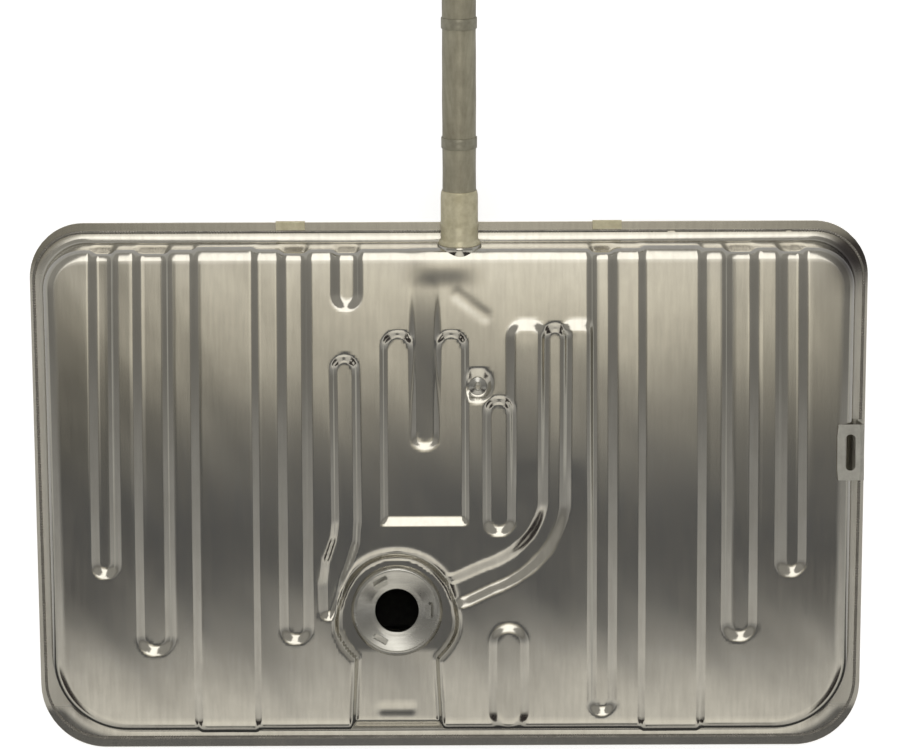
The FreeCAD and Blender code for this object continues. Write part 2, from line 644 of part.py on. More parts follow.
def skin(name, inset):
    """The upper half as a full block, drawn in by inset on every side."""
    body = pan(name + "_pan", inset, inset)
    floor = crown_block(name + "_groove_floor", f"groove_depth + {inset}")
    grooves = combine("Cut", name + "_grooves", groove_prisms(name + "_groove_prisms", inset), floor)
    grooved = combine("Cut", name + "_grooved", body, grooves)
    lid = crown_block(name + "_pad_top", f"{inset} - pad_rise")
    pads = combine("Common", name + "_pads", raised_prisms(name + "_pad_prisms", f"-{inset}"), lid)
    padded = fused(name + "_padded", [grooved, pads, boss(name + "_boss", inset)])
    return combine("Cut", name, padded, flat_recesses(name + "_recess", inset))


def flange(name, downwards):
    """The flat rim that is seam-welded to the other half."""
    outline = plan(name + "_plan", "0", "0", "flange_corner", "front_corner")
    return extrude(name, outline, "sheet", downwards=downwards)


def upper_half():
    """The upper pressing with its grooves, pads, recess and boss."""
    outside = fused("upper_outside", [skin("upper_outer", "0"), flange("upper_flange", False)])
    inside = skin("upper_inner", "sheet")
    shell = combine("Cut", "upper_hollow", outside, inside)
    sender = doc.addObject("Part::Cylinder", "sender_cutter")
    sender.setExpression("Radius", formula("sender_radius + seat_sheet + joint_gap"))
    sender.setExpression("Height", formula("upper_depth"))
    sender.setExpression("Placement.Base.x", formula("sender_x"))
    sender.setExpression("Placement.Base.y", formula("sender_y"))
    sender.setExpression("Placement.Base.z", formula("seam_height + sheet"))
    neck = neck_cylinder("neck_cutter", "neck_radius + socket_wall + 2 * joint_gap", "-20", "40")
    vent = neck_cylinder("vent_cutter", "vent_radius + joint_gap", "-20", "40", "vent_offset")
    nipple = doc.addObject("Part::Cylinder", "nipple_cutter")
    nipple.setExpression("Radius", formula("nipple_radius"))
    nipple.setExpression("Height", formula("upper_depth"))
    nipple.setExpression("Placement.Base.x", formula("nipple_x"))
    nipple.setExpression("Placement.Base.y", formula("nipple_y"))
    nipple.setExpression("Placement.Base.z", formula("seam_height + sheet + upper_depth / 2"))
    doc.recompute()
    return combine("Cut", "upper_shell", shell, fused("upper_cutters", [sender, neck, vent, nipple]))


def floor_block(name, lift):
    """Everything above the floor's curve, lifted by lift."""
    outline = Outline(name + "_sketch", turn=SIDE_PLANE)
    sketch = outline.sketch
    up = Vector(0, 0, 1)
    reach, roof, base = number(FAR), number("seam_height + 20"), number(lift)
    arcs, ends = [], []
    for sign, start, curve in ((1, "floor_rear", "rear_curve"), (-1, "floor_front", "front_curve")):
        radius = number(f"{curve} - ({lift})")
        centre = Vector(sign * number(start), number(curve), 0)
        rise = Vector(sign * reach, centre.y - math.sqrt(radius**2 - (reach - number(start)) ** 2), 0)
        angle = math.atan2(rise.y - centre.y, rise.x - centre.x)
        angles = (-math.pi / 2, angle) if sign > 0 else (angle, -math.pi / 2)
        arcs.append(sketch.addGeometry(Part.ArcOfCircle(Part.Circle(centre, up, radius), *angles)))
        ends.append(rise)
        outline.place(arcs[-1], 3, start if sign > 0 else f"-{start}", curve)
    rear, front = arcs
    flat = sketch.addGeometry(
        Part.LineSegment(Vector(-number("floor_front"), base, 0), Vector(number("floor_rear"), base, 0))
    )
    right = sketch.addGeometry(Part.LineSegment(ends[0], Vector(reach, roof, 0)))
    lid = sketch.addGeometry(Part.LineSegment(Vector(reach, roof, 0), Vector(-reach, roof, 0)))
    left = sketch.addGeometry(Part.LineSegment(Vector(-reach, roof, 0), ends[1]))
    sketch.addConstraint(Sketcher.Constraint("Tangent", flat, 2, rear, 1))
    sketch.addConstraint(Sketcher.Constraint("Tangent", front, 2, flat, 1))
    for a, b in ((rear, right), (right, lid), (lid, left)):
        sketch.addConstraint(Sketcher.Constraint("Coincident", a, 2, b, 1))
    sketch.addConstraint(Sketcher.Constraint("Coincident", left, 2, front, 1))
    sketch.addConstraint(Sketcher.Constraint("Vertical", right))
    sketch.addConstraint(Sketcher.Constraint("Vertical", left))
    outline.place(lid, 1, FAR, "seam_height + 20")
    outline.place(lid, 2, f"-{FAR}", "seam_height + 20")
    if base:
        outline.drive(lift, "DistanceY", -1, 1, flat, 1)
    else:
        sketch.addConstraint(Sketcher.Constraint("PointOnObject", flat, 1, -1))
    return extrude(name, outline, "rear_half_width * 2 + 200", both=True)


def floor_edge(edge):
    """True for the edges where the floor meets the walls, not for the floor's own lines."""
    middle = edge.valueAt((edge.FirstParameter + edge.LastParameter) / 2)
    if middle.z > number("seam_height / 2") or is_upright(edge):
        return False
    inside = -number("floor_front") - 1 < middle.y < number("floor_rear") + 1
    return not (inside and abs(middle.x) < number("front_half_width / 2"))


def floor_prisms(name, grow):
    """The strap channels and stiffening grooves of the floor, as upright prisms."""
    wide = f" + 2 * {grow}"
    beyond = "half_length + 20"
    outline = Outline(name + "_sketch")
    outer, inner = "floor_groove_x", "floor_groove_inner"
    slots = [
        (f"{side}strap_x", "strap_channel", f"-({beyond})", beyond) for side in ("", "-")
    ] + [
        (f"{side}{x}", "floor_groove_width", low, "floor_groove_rear")
        for side in ("", "-")
        for x, low in ((outer, "floor_groove_front"), (inner, "floor_groove_middle"))
    ]
    for x, width, low, high in slots:
        outline.slot(x, width + wide, f"{low} - {grow}", f"{high} + {grow}")
    return extrude(name, outline, "seam_height / 2")


def belly(name, inset):
    """The lower half as a full block, drawn in by inset on every side."""
    outline = wall_plan(name + "_plan", inset)
    block = extrude(name + "_block", outline, "seam_height + 20", downwards=True, draft="-lower_draft")
    cut = combine("Common", name + "_cut", block, floor_block(name + "_floor", inset))
    rounded = rounded_edges(name + "_rounded", cut, floor_edge, f"floor_radius - {inset}")
    above = floor_block(name + "_groove_roof", f"strap_depth + {inset}")
    grooves = combine("Cut", name + "_grooves", floor_prisms(name + "_prisms", inset), above)
    return combine("Cut", name, rounded, grooves)


def lower_half():
    """The lower pressing with its strap channels, grooves and turned lips."""
    parts = [belly("lower_outer", "0"), flange("lower_flange", True)]
    for side in ("right", "left"):
        lip = doc.addObject("Part::Box", f"{side}_lip")
        lip.setExpression("Length", formula("lip_length"))
        lip.setExpression("Width", formula("sheet"))
        lip.setExpression("Height", formula("lip_drop"))
        near = "guide_x + guide_length / 2 + lip_gap"
        start = near if side == "right" else f"-({near} + lip_length)"
        lip.setExpression("Placement.Base.x", formula(start))
        lip.setExpression("Placement.Base.y", formula("half_length - sheet"))
        lip.setExpression("Placement.Base.z", formula("seam_height - lip_drop"))
        parts.append(lip)
    doc.recompute()
    return combine("Cut", "lower_shell", fused("lower_outside", parts), belly("lower_inner", "sheet"))


def add_body(name):
    """An empty body whose Label names its node."""
    body = doc.addObject("PartDesign::Body", name)
    doc.recompute()
    return body


def revolve(body, name, points):
    """Turns a closed profile of radius and height once round the body's Z axis."""
    outline = Outline(name + "_profile", body, "XZ_Plane")
    outline.polygon(points)
    turned = body.newObject("PartDesign::Revolution", name)
    turned.Profile = outline.sketch
    turned.ReferenceAxis = (outline.sketch, ["V_Axis"])
    turned.Angle = 360
    outline.sketch.Visibility = False
    doc.recompute()
    return turned


def pad(body, name, outline, length, midplane=False):
    """Pads a sketch of the body."""
    made = body.newObject("PartDesign::Pad", name)
    made.Profile = outline.sketch
    made.setExpression("Length", formula(length))
    made.Midplane = midplane
    doc.recompute()
    return made


def pocket(body, name, outline, length, midplane=False, reverse=False):
    """Cuts a sketch into the body and checks that it did."""
    before = body.Shape.Volume
    made = body.newObject("PartDesign::Pocket", name)
    made.Profile = outline.sketch
    made.setExpression("Length", formula(length))
    made.Midplane = midplane
    made.Reversed = reverse
    doc.recompute()
    if not body.Shape.Volume < before - 0.01:
        raise ValueError(f"{name} cuts nothing")
    return made


def put(obj, x, y, z):
    """Ties an object's place to formulas of the sizes."""
    for axis, words in zip("xyz", (x, y, z)):
        obj.setExpression(f"Placement.Base.{axis}", formula(words))


def neck_socket():
    """The collar that is soldered into the boss and takes the neck."""
    body = add_body("neck_socket")
    inner = "(neck_radius + joint_gap)"
    outer = f"({inner} + socket_wall)"
    revolve(body, "socket_ring", (
        (inner, "-socket_spigot"), (outer, "-socket_spigot"), (outer, "0"), ("socket_bead", "0"),
        ("socket_bead", "socket_bead_width"), (outer, "socket_bead_width"),
        (outer, "socket_length"), (inner, "socket_length"),
    ))
    tip_placement(body)
    return body


def filler_neck():
    """The straight tube that the fuel is poured through."""
    start = "-socket_spigot + sheet"
    length = "neck_length + socket_spigot - sheet"
    outer = neck_cylinder("neck_outside", "neck_radius", start, length)
    inner = neck_cylinder("neck_bore", "neck_radius - neck_wall", f"{start} - 1", f"{length} + 2")
    return combine("Cut", "filler_neck", outer, inner)


def filler_mouth():
    """The cup on the end of the neck, with the lip and notches that hold the cap."""
    body = add_body("filler_mouth")
    inner = "(neck_radius + joint_gap)"
    back = "neck_length"
    front = "(neck_length + mouth_depth)"
    revolve(body, "mouth_cup", (
        (inner, f"{back} - mouth_overlap"), (f"{inner} + mouth_wall", f"{back} - mouth_overlap"),
        (f"{inner} + mouth_wall", f"{back} - mouth_wall"), ("mouth_radius", f"{back} - mouth_wall"),
        ("mouth_radius", front), ("mouth_opening", front),
        ("mouth_opening", f"{front} - mouth_wall * 3"),
        ("mouth_opening + mouth_wall", f"{front} - mouth_wall * 3"),
        ("mouth_opening + mouth_wall", f"{front} - mouth_wall"),
        ("mouth_radius - mouth_wall", f"{front} - mouth_wall"),
        ("mouth_radius - mouth_wall", back), (inner, back),
    ))
    notches = Outline("mouth_notch_plan", body, "XY_Plane", f"{front} + 1")
    half, reach = "(mouth_notch / 2)", "(mouth_opening + mouth_wall * 3)"
    notches.polygon(((f"-{reach}", f"-{half}"), (reach, f"-{half}"), (reach, half), (f"-{reach}", half)))
    pocket(body, "mouth_notches", notches, "mouth_wall * 3 + 2")
    hole = Outline("mouth_vent_plan", body, "XY_Plane", f"{back} + 1")
    hole.circle("0", "vent_offset", "vent_radius + joint_gap")
    pocket(body, "mouth_vent_hole", hole, "mouth_wall + 2")
    tip_placement(body)
    return body


def vent_tube():
    """The tube under the neck that lets the air out while the tank fills."""
    length = "neck_length + vent_reach + vent_inside"
    outer = neck_cylinder("vent_outside", "vent_radius", "-vent_inside", length, "vent_offset")
    inner = neck_cylinder(
        "vent_bore", "vent_radius - vent_wall", "-vent_inside - 1", f"{length} + 2", "vent_offset"
    )
    return combine("Cut", "vent_tube", outer, inner)


def neck_clip(name, along):
    """A clip that ties the vent tube to the neck."""
    big, small = "neck_radius + joint_gap", "vent_radius + joint_gap"
    parts = [
        neck_cylinder(name + "_big", f"{big} + clip_sheet", along, "clip_width"),
        neck_cylinder(name + "_small", f"{small} + clip_sheet", along, "clip_width", "vent_offset"),
    ]
    web = doc.addObject("Part::Box", name + "_web")
    web.setExpression("Length", formula("2 * vent_radius"))
    web.setExpression("Width", formula("vent_offset"))
    web.setExpression("Height", formula("clip_width"))
    tip_placement(web, along)
    web.setExpression("Placement.Base.x", formula("neck_x - vent_radius"))
    doc.recompute()
    solid = fused(name + "_solid", parts + [web])
    holes = [
        neck_cylinder(name + "_neck_hole", big, f"{along} - 1", "clip_width + 2"),
        neck_cylinder(name + "_vent_hole", small, f"{along} - 1", "clip_width + 2", "vent_offset"),
    ]
    doc.recompute()
    return combine("Cut", name, solid, fused(name + "_holes", holes))


def sender_seat():
    """The dished ring with a collar and three ears that locks the fuel sender."""
    body = add_body("sender_seat")
    thick = "seat_sheet"
    drop = "(seat_collar - seat_sheet)"
    revolve(body, "seat_ring", (
        ("seat_radius", "0"), ("seat_radius", thick), (f"seat_crest + {thick}", f"seat_rise + {thick}"),
        (f"seat_crest - {thick}", f"seat_rise + {thick}"), ("seat_flat", thick), ("sender_radius", thick),
        ("sender_radius", f"-{drop}"), (f"sender_radius + {thick}", f"-{drop}"),
        (f"sender_radius + {thick}", "0"), (f"seat_flat + {thick}", "0"),
        (f"seat_crest - {thick}", "seat_rise"), (f"seat_crest + {thick} / 2", "seat_rise"),
        (f"seat_radius - {thick}", "0"),
    ))
    ear = Outline("ear_profile", body, "XZ_Plane")
    top = f"(seat_rise + {thick} + ear_height)"
    ear.polygon((
        ("ear_radius", "seat_rise / 2"), (f"ear_radius + {thick}", "seat_rise / 2"),
        (f"ear_radius + {thick}", top), (f"ear_radius - ear_reach", top),
        (f"ear_radius - ear_reach", f"{top} - {thick}"), ("ear_radius", f"{top} - {thick}"),
    ))
    ears = pad(body, "ear", ear, "ear_width", midplane=True)
    ring = body.newObject("PartDesign::PolarPattern", "ears")
    ring.Originals = [ears]
    ring.Axis = ([o for o in body.Origin.OriginFeatures if o.Role == "Z_Axis"][0], [""])
    ring.Angle = 360
    ring.Occurrences = 3
    body.Tip = ring
    put(body, "sender_x", "sender_y", "recess_floor")
    doc.recompute()
    return body


def vent_nipple():
    """The small stub on the top that takes the vapour hose."""
    body = add_body("vent_nipple")
    bore, neck = "(nipple_radius - nipple_wall)", "(nipple_radius - joint_gap)"
    bead = "nipple_length - nipple_radius"
    revolve(body, "nipple_turning", (
        (bore, "-sheet * 3"), (neck, "-sheet * 3"), (neck, "0"), ("nipple_base", "0"),
        ("nipple_base", "sheet"), ("nipple_radius", "sheet * 2"), ("nipple_radius", bead),
        ("nipple_radius + sheet", bead), (neck, "nipple_length"), (bore, "nipple_length"),
    ))
    put(body, "nipple_x", "nipple_y", f"{DISH_FLOOR} + joint_gap")
    doc.recompute()
    return body


def strap_guide(name, sign):
    """The clip over the rear flange that keeps a strap in its place."""
    body = add_body(name)
    profile = Outline(name + "_profile", body, "YZ_Plane")
    low, high = "(-sheet - joint_gap)", "(sheet + joint_gap)"
    thick, edge = "guide_sheet", "(half_length + joint_gap)"
    inner = "(half_length - guide_reach)"
    profile.polygon((
        (inner, high), (inner, f"{high} + {thick}"), (f"{edge} + {thick}", f"{high} + {thick}"),
        (f"{edge} + {thick}", f"{low} - {thick}"), (inner, f"{low} - {thick}"), (inner, low),
        (edge, low), (edge, high),
    ))
    pad(body, name + "_pad", profile, "guide_length", midplane=True)
    put(body, f"{sign}guide_x", "0", "seam_height")
    doc.recompute()
    return body


def side_bracket():
    """The bracket on the right flange that reaches in over the top."""
    body = add_body("side_bracket")
    profile = Outline("bracket_profile", body, "XZ_Plane")
    slope = "((rear_half_width - front_half_width) * (half_length - bracket_y) / (2 * half_length))"
    edge = f"(rear_half_width - {slope})"
    foot, riser = f"({edge} - 2)", f"({edge} - flange_width + sheet * 2)"
    base, thick = "(sheet + joint_gap)", "bracket_sheet"
    top = "(upper_depth + joint_gap * 3)"
    profile.polygon((
        (foot, base), (foot, f"{base} + {thick}"), (f"{riser} + {thick}", f"{base} + {thick}"),
        (f"{riser} + {thick}", f"{top} + {thick}"), (f"{riser} - bracket_reach", f"{top} + {thick}"),
        (f"{riser} - bracket_reach", top), (riser, top), (riser, base),
    ))
    pad(body, "bracket_pad", profile, "bracket_length", midplane=True)
    slot = Outline("bracket_slot_plan", body, "XY_Plane", f"{top} + {thick} + 1")
    half, ends = "(bracket_slot / 2)", "(bracket_length / 2 - bracket_slot)"
    middle = f"({riser} - bracket_reach / 2)"
    slot.slot(middle, "bracket_slot", f"-{ends}", ends)
    pocket(body, "bracket_window", slot, f"{thick} + 2")
    put(body, "0", "bracket_y", "seam_height")
    doc.recompute()
    return body


def baffle(name, sign):
    """An upright plate with holes that slows the fuel's sloshing."""
    body = add_body(name)
    side = Outline(name + "_side", body, "XZ_Plane")
    thick = "sheet"
    floor, roof = "sheet", "baffle_height"
    side.polygon((
        ("0", floor), ("baffle_foot", floor), ("baffle_foot", f"{floor} + {thick}"),
        (thick, f"{floor} + {thick}"), (thick, f"{roof} - {thick}"), ("baffle_foot", f"{roof} - {thick}"),
        ("baffle_foot", roof), ("0", roof),
    ))
    length = "(baffle_rear - baffle_front)"
    pad(body, name + "_plate", side, length, midplane=True)
    holes = Outline(name + "_holes", body, "YZ_Plane", "-1")
    for place in ("-1", "0", "1"):
        holes.circle(f"{length} * {place} / 3", "baffle_height / 2", "baffle_hole")
    pocket(body, name + "_windows", holes, "sheet + 2", reverse=True)
    put(body, f"{sign}baffle_x", "(baffle_rear + baffle_front) / 2", "0")
    doc.recompute()
    return body


def pickup_tray():
    """The open tray that keeps fuel round the pickup under the sender."""
    body = add_body("pickup_tray")
    tray = Outline("tray_plan", body, "XY_Plane", "sheet")
    x, y = "(tray_length / 2)", "(tray_width / 2)"
    tray.rounded(((f"-{x}", y), (f"-{x}", f"-{y}"), (x, f"-{y}"), (x, y)), ("tray_corner",) * 4)
    pad(body, "tray_block", tray, "tray_height")
    well = Outline("tray_well_plan", body, "XY_Plane", "sheet + tray_height")
    x, y = "(tray_length / 2 - sheet)", "(tray_width / 2 - sheet)"
    well.rounded(((f"-{x}", y), (f"-{x}", f"-{y}"), (x, f"-{y}"), (x, y)), ("tray_corner - sheet",) * 4)
    pocket(body, "tray_well", well, "tray_height - sheet")
    put(body, "sender_x", "sender_y", "0")
    doc.recompute()
    return body


nodes = {
    "upper_shell": upper_half(),
    "lower_shell": lower_half(),
    "neck_socket": neck_socket(),
    "filler_neck": filler_neck(),
    "filler_mouth": filler_mouth(),
    "vent_tube": vent_tube(),
    "neck_clip_lower": neck_clip("neck_clip_lower", "clip_low"),
    "neck_clip_upper": neck_clip("neck_clip_upper", "clip_high"),
    "sender_seat": sender_seat(),
    "vent_nipple": vent_nipple(),
    "strap_guide_left": strap_guide("strap_guide_left", "-"),
    "strap_guide_right": strap_guide("strap_guide_right", ""),
    "side_bracket": side_bracket(),
    "baffle_left": baffle("baffle_left", "-"),
    "baffle_right": baffle("baffle_right", ""),
    "pickup_tray": pickup_tray(),
}
doc.recompute()
for label, node in nodes.items():
    node.Label = label

for obj in doc.Objects:
    if any(word in obj.State for word in ("Invalid", "Error")):
        raise ValueError(f"{obj.Name} didn't recompute: {obj.State}")
for label, node in nodes.items():
    if node.Shape.isNull() or not node.Shape.isValid() or len(node.Shape.Solids) < 1:
        raise ValueError(f"{label} has no valid solid")

os.makedirs("parts", exist_ok=True)
for label, node in nodes.items():
    node.Shape.exportStep(f"parts/{label}.step")
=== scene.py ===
"""Looks of a pressed-steel car fuel tank: two pressed halves, welded seam, sender seat and filler neck.

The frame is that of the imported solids, in metres: +Z up, +Y towards the filler neck, +X to the right.
Sizes in the classes are millimetres and are turned into metres where a mesh is made.
"""

import logging
import math
from dataclasses import dataclass, field
from enum import Enum

import bpy
import numpy as np
from mathutils import Matrix, Vector


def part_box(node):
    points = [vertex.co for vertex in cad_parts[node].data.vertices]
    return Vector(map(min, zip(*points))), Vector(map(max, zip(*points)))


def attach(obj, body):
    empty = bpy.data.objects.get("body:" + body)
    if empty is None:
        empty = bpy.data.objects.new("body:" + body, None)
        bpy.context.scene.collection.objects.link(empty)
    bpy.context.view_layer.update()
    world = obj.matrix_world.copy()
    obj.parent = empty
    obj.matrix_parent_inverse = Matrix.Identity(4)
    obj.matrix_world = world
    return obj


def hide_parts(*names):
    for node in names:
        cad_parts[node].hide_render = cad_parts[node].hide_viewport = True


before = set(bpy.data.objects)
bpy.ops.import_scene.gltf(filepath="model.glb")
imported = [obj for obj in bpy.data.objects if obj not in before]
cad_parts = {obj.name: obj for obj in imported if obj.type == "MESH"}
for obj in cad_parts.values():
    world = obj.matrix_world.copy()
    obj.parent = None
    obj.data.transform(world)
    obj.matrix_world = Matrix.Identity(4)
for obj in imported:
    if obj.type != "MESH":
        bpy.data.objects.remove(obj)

MM = 0.001
ROOT = "root"
UPRIGHT = Matrix(((1, 0, 0, 0), (0, 0, -1, 0), (0, 1, 0, 0), (0, 0, 0, 1)))
ACROSS = Matrix(((0, 0, 1, 0), (1, 0, 0, 0), (0, 1, 0, 0), (0, 0, 0, 1)))
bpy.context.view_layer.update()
log = logging.getLogger("fuel_tank")


class Lay(Enum):
    """Which way the drawn streaks of a sheet run."""

    ALONG_Y = (0.10, 1.0)
    ALONG_X = (1.0, 0.10)
    EVEN = (1.0, 1.0)


class Face(Enum):
    """Which half of the tank a pressing is."""

    TOP = 1
    BOTTOM = -1


# Shader helpers

Array = np.ndarray
Tree = bpy.types.NodeTree
Socket = bpy.types.NodeSocket
Piece = bpy.types.Object
Pair = tuple[float, float]
Triple = tuple[float, float, float]


def feed(tree: Tree, socket: Socket, value: Socket | float | tuple) -> None:
    """Links a socket to another one, or sets its constant.

    Args:
        tree: The node tree.
        socket: The input.
        value: The output to link, or the constant.
    """
    if isinstance(value, Socket):
        tree.links.new(value, socket)
    else:
        socket.default_value = value


def calculate(tree: Tree, kind: str, *values: Socket | float) -> Socket:
    """Adds a Math node.

    Args:
        tree: The node tree.
        kind: The operation.
        values: What its inputs read.

    Returns:
        The result.
    """
    node = tree.nodes.new("ShaderNodeMath")
    node.operation = kind
    for socket, value in zip(node.inputs, values):
        feed(tree, socket, value)
    return node.outputs[0]


def product(tree: Tree, *values: Socket) -> Socket:
    """Multiplies values.

    Args:
        tree: The node tree.
        values: The values.

    Returns:
        Their product.
    """
    total = values[0]
    for other in values[1:]:
        total = calculate(tree, "MULTIPLY", total, other)
    return total


def lead(tree: Tree, value: Socket, ends: Pair, levels: Pair = (0.0, 1.0), smooth: bool = True) -> Socket:
    """Leads from one level to another between two values.

    Args:
        tree: The node tree.
        value: What the level depends on.
        ends: The values where it starts and ends to change.
        levels: The level at the first and at the second of them.
        smooth: Whether it starts and ends gently.

    Returns:
        The level.
    """
    node = tree.nodes.new("ShaderNodeMapRange")
    if smooth:
        node.interpolation_type = "SMOOTHSTEP"
    for name, number in zip(("From Min", "From Max", "To Min", "To Max"), (*ends, *levels)):
        node.inputs[name].default_value = number
    tree.links.new(value, node.inputs["Value"])
    return node.outputs["Result"]


def blend(tree: Tree, share: Socket | float, first: Socket | tuple, second: Socket | tuple, kind: str = "MIX") -> Socket:
    """Mixes two colours.

    Args:
        tree: The node tree.
        share: How much of the second colour counts.
        first: The first colour.
        second: The second colour.
        kind: Blend type.

    Returns:
        The mixed colour.
    """
    mix = tree.nodes.new("ShaderNodeMix")
    mix.data_type, mix.blend_type = "RGBA", kind
    mix.clamp_factor = True
    for socket, value in ((mix.inputs["Factor"], share), (mix.inputs[6], first), (mix.inputs[7], second)):
        feed(tree, socket, value)
    return mix.outputs[2]


# Finishes


@dataclass(frozen=True)
class Steel:
    """A coated or plated steel finish with streaks, blotches and a faint grain.

    Colours are linear; roughness is that of the cleanest and the dullest spots. Pattern scales are in spots
    per metre. The wear and painted-shade windows give where each step reads 0 and where it reads 1, in metres.
    """

    name: str
    colour: Triple
    stain: Triple
    polish: float = 0.22
    dull: float = 0.34
    lay: Lay = Lay.ALONG_Y
    blotch: float = 14.0
    grain: float = 0.25
    metal: float = 1.0
    worn_edge_and_painted_shade: bool = False
    streak_scale: float = 150.0
    grain_scale: float = 900.0
    streak_share: float = 0.45
    grain_depth: float = 0.0002
    worn_dullness: float = 0.5
    worn_metal: float = 0.1
    worn_window: tuple[Pair, ...] = ((0.455, 0.482), (0.1018, 0.1004), (-0.285, -0.262), (0.285, 0.235))
    # Painted shade: the near-black colour painted over the rear right corner, and the window where it lies.
    painted_shade: Triple = (0.10, 0.09, 0.088)
    painted_shade_window: tuple[Pair, ...] = ((0.44, 0.49), (0.225, 0.28), (0.322, 0.295))

    def build(self) -> bpy.types.Material:
        """Builds the shader once and returns it on later calls.

        Returns:
            The Blender material.
        """
        made = bpy.data.materials.get(self.name)
        if made:
            return made
        made = bpy.data.materials.new(self.name)
        made.use_nodes = True
        tree = made.node_tree
        shader = tree.nodes["Principled BSDF"]
        shader.inputs["Metallic"].default_value = self.metal
        place = tree.nodes.new("ShaderNodeTexCoord").outputs["Object"]
        stretch = tree.nodes.new("ShaderNodeMapping")
        across, along = self.lay.value
        stretch.inputs["Scale"].default_value = (along, across, 1.0)
        tree.links.new(place, stretch.inputs["Vector"])
        streaks = self._noise(tree, stretch.outputs["Vector"], self.streak_scale, 4.0, 0.6)
        patches = self._noise(tree, place, self.blotch, 5.0, 0.62)
        fine = self._noise(tree, place, self.grain_scale, 2.0, 0.5)
        shaded = calculate(tree, "MULTIPLY", patches, 1.0 - self.streak_share)
        both = calculate(tree, "MULTIPLY_ADD", streaks, self.streak_share, shaded)
        ramp = tree.nodes.new("ShaderNodeValToRGB")
        for element, position, colour in zip(ramp.color_ramp.elements, (0.36, 0.62), (self.stain, self.colour)):
            element.position, element.color = position, (*colour, 1.0)
        tree.links.new(both, ramp.inputs["Fac"])
        tree.links.new(ramp.outputs["Color"], shader.inputs["Base Color"])
        tree.links.new(lead(tree, both, (0.3, 0.7), (self.dull, self.polish), False), shader.inputs["Roughness"])
        if self.worn_edge_and_painted_shade:
            self._wear_and_painted_shade(tree, place, shader)
        bump = tree.nodes.new("ShaderNodeBump")
        bump.inputs["Strength"].default_value = self.grain
        bump.inputs["Distance"].default_value = self.grain_depth
        tree.links.new(calculate(tree, "MULTIPLY_ADD", fine, 0.25, streaks), bump.inputs["Height"])
        tree.links.new(bump.outputs["Normal"], shader.inputs["Normal"])
        return made

    def _wear_and_painted_shade(self, tree: Tree, vector: Socket, shader: bpy.types.Node) -> None:
        """Turns the side flanges chalky, where they are handled most, and paints shade into the colour at the rear
        right corner.

        Args:
            tree: The material's node tree.
            vector: Object coordinates, in metres.
            shader: The shader, with its colour and roughness linked.
        """
        split = tree.nodes.new("ShaderNodeSeparateXYZ")
        tree.links.new(vector, split.inputs[0])
        x, y, z = split.outputs
        worn = self._window(tree, (calculate(tree, "ABSOLUTE", x), z, y, y), self.worn_window)
        # Painted shade: mask of the rear right corner, where the colour is painted near-black to stand in for shade.
        painted_shade = self._window(tree, (x, y, y), self.painted_shade_window)
        rough, metal, colour = (shader.inputs[name] for name in ("Roughness", "Metallic", "Base Color"))
        for socket, value in ((rough, self.worn_dullness), (metal, self.worn_metal)):
            mix = tree.nodes.new("ShaderNodeMix")
            mix.data_type = "FLOAT"
            feed(tree, mix.inputs[2], socket.links[0].from_socket if socket.is_linked else socket.default_value)
            mix.inputs[3].default_value = value
            tree.links.new(worn, mix.inputs["Factor"])
            tree.links.new(mix.outputs[0], socket)
        # Painted shade: blends the corner's colour towards near-black.
        tree.links.new(blend(tree, painted_shade, colour.links[0].from_socket, (*self.painted_shade, 1.0)), colour)

    @staticmethod
    def _window(tree: Tree, values: tuple[Socket, ...], edges: tuple[Pair, ...]) -> Socket:
        """The product of smooth steps.

        Args:
            tree: The material's node tree.
            values: The value that each step reads.
            edges: Where each step is 0 and where it reaches 1.

        Returns:
            The product.
        """
        return product(tree, *(lead(tree, value, ends) for value, ends in zip(values, edges)))

    @staticmethod
    def _noise(tree: Tree, vector: Socket, scale: float, detail: float, rough: float) -> Socket:
        """Adds a noise texture.

        Args:
            tree: The material's node tree.
            vector: The coordinates that it reads.
            scale: Size of the pattern, in spots per metre.
            detail: Number of finer layers.
            rough: Weight of the finer layers.

        Returns:
            The noise's value.
        """
        node = tree.nodes.new("ShaderNodeTexNoise")
        for name, value in (("Scale", scale), ("Detail", detail), ("Roughness", rough), ("Vector", vector)):
            feed(tree, node.inputs[name], value)
        return node.outputs["Fac"]


# The coated sheet's colour carries painted shade at the rear right corner.
TERNE = Steel(
    "terne_coated_sheet", (0.64, 0.615, 0.55), (0.56, 0.535, 0.475), 0.11, 0.17, grain=0.12, worn_edge_and_painted_shade=True
)
INNER = Steel("plain_plated_steel", (0.52, 0.51, 0.47), (0.40, 0.39, 0.36), 0.2, 0.3, Lay.ALONG_X)
FOULED = Steel("fuel_stained_steel", (0.05, 0.047, 0.04), (0.025, 0.023, 0.02), 0.7, 0.85, Lay.EVEN, metal=0.0)
CLIP = Steel("khaki_coated_strip", (0.44, 0.42, 0.33), (0.32, 0.30, 0.23), 0.3, 0.42, Lay.EVEN, 40.0, metal=0.5)
KHAKI = Steel(
    "khaki_coated_tube", (0.52, 0.49, 0.37), (0.34, 0.31, 0.23), 0.32, 0.45, Lay.ALONG_Y, 26.0, metal=0.35
)
SOLDER = Steel("solder_dipped_steel", (0.84, 0.78, 0.57), (0.66, 0.60, 0.40), 0.28, 0.45, Lay.EVEN, 60.0, 0.4, 0.35)
WELD = Steel("seam_weld_track", (0.34, 0.32, 0.29), (0.20, 0.19, 0.17), 0.22, 0.35, Lay.EVEN, 40.0, 0.4)
DULL = Steel("dull_plated_strip", (0.56, 0.55, 0.50), (0.44, 0.43, 0.39), 0.4, 0.5, Lay.EVEN, 40.0, 0.3, 0.4)


# Relief of the pressings


def rise(distance: Array, soft: float) -> Array:
    """Smooth step from 0 outside an edge to 1 inside it.

    Args:
        distance: Signed distance to the edge, negative inside.
        soft: Width of the step.

    Returns:
        The share, from 0 to 1.
    """
    t = np.clip(0.5 - distance / soft, 0.0, 1.0)
    return t * t * (3.0 - 2.0 * t)


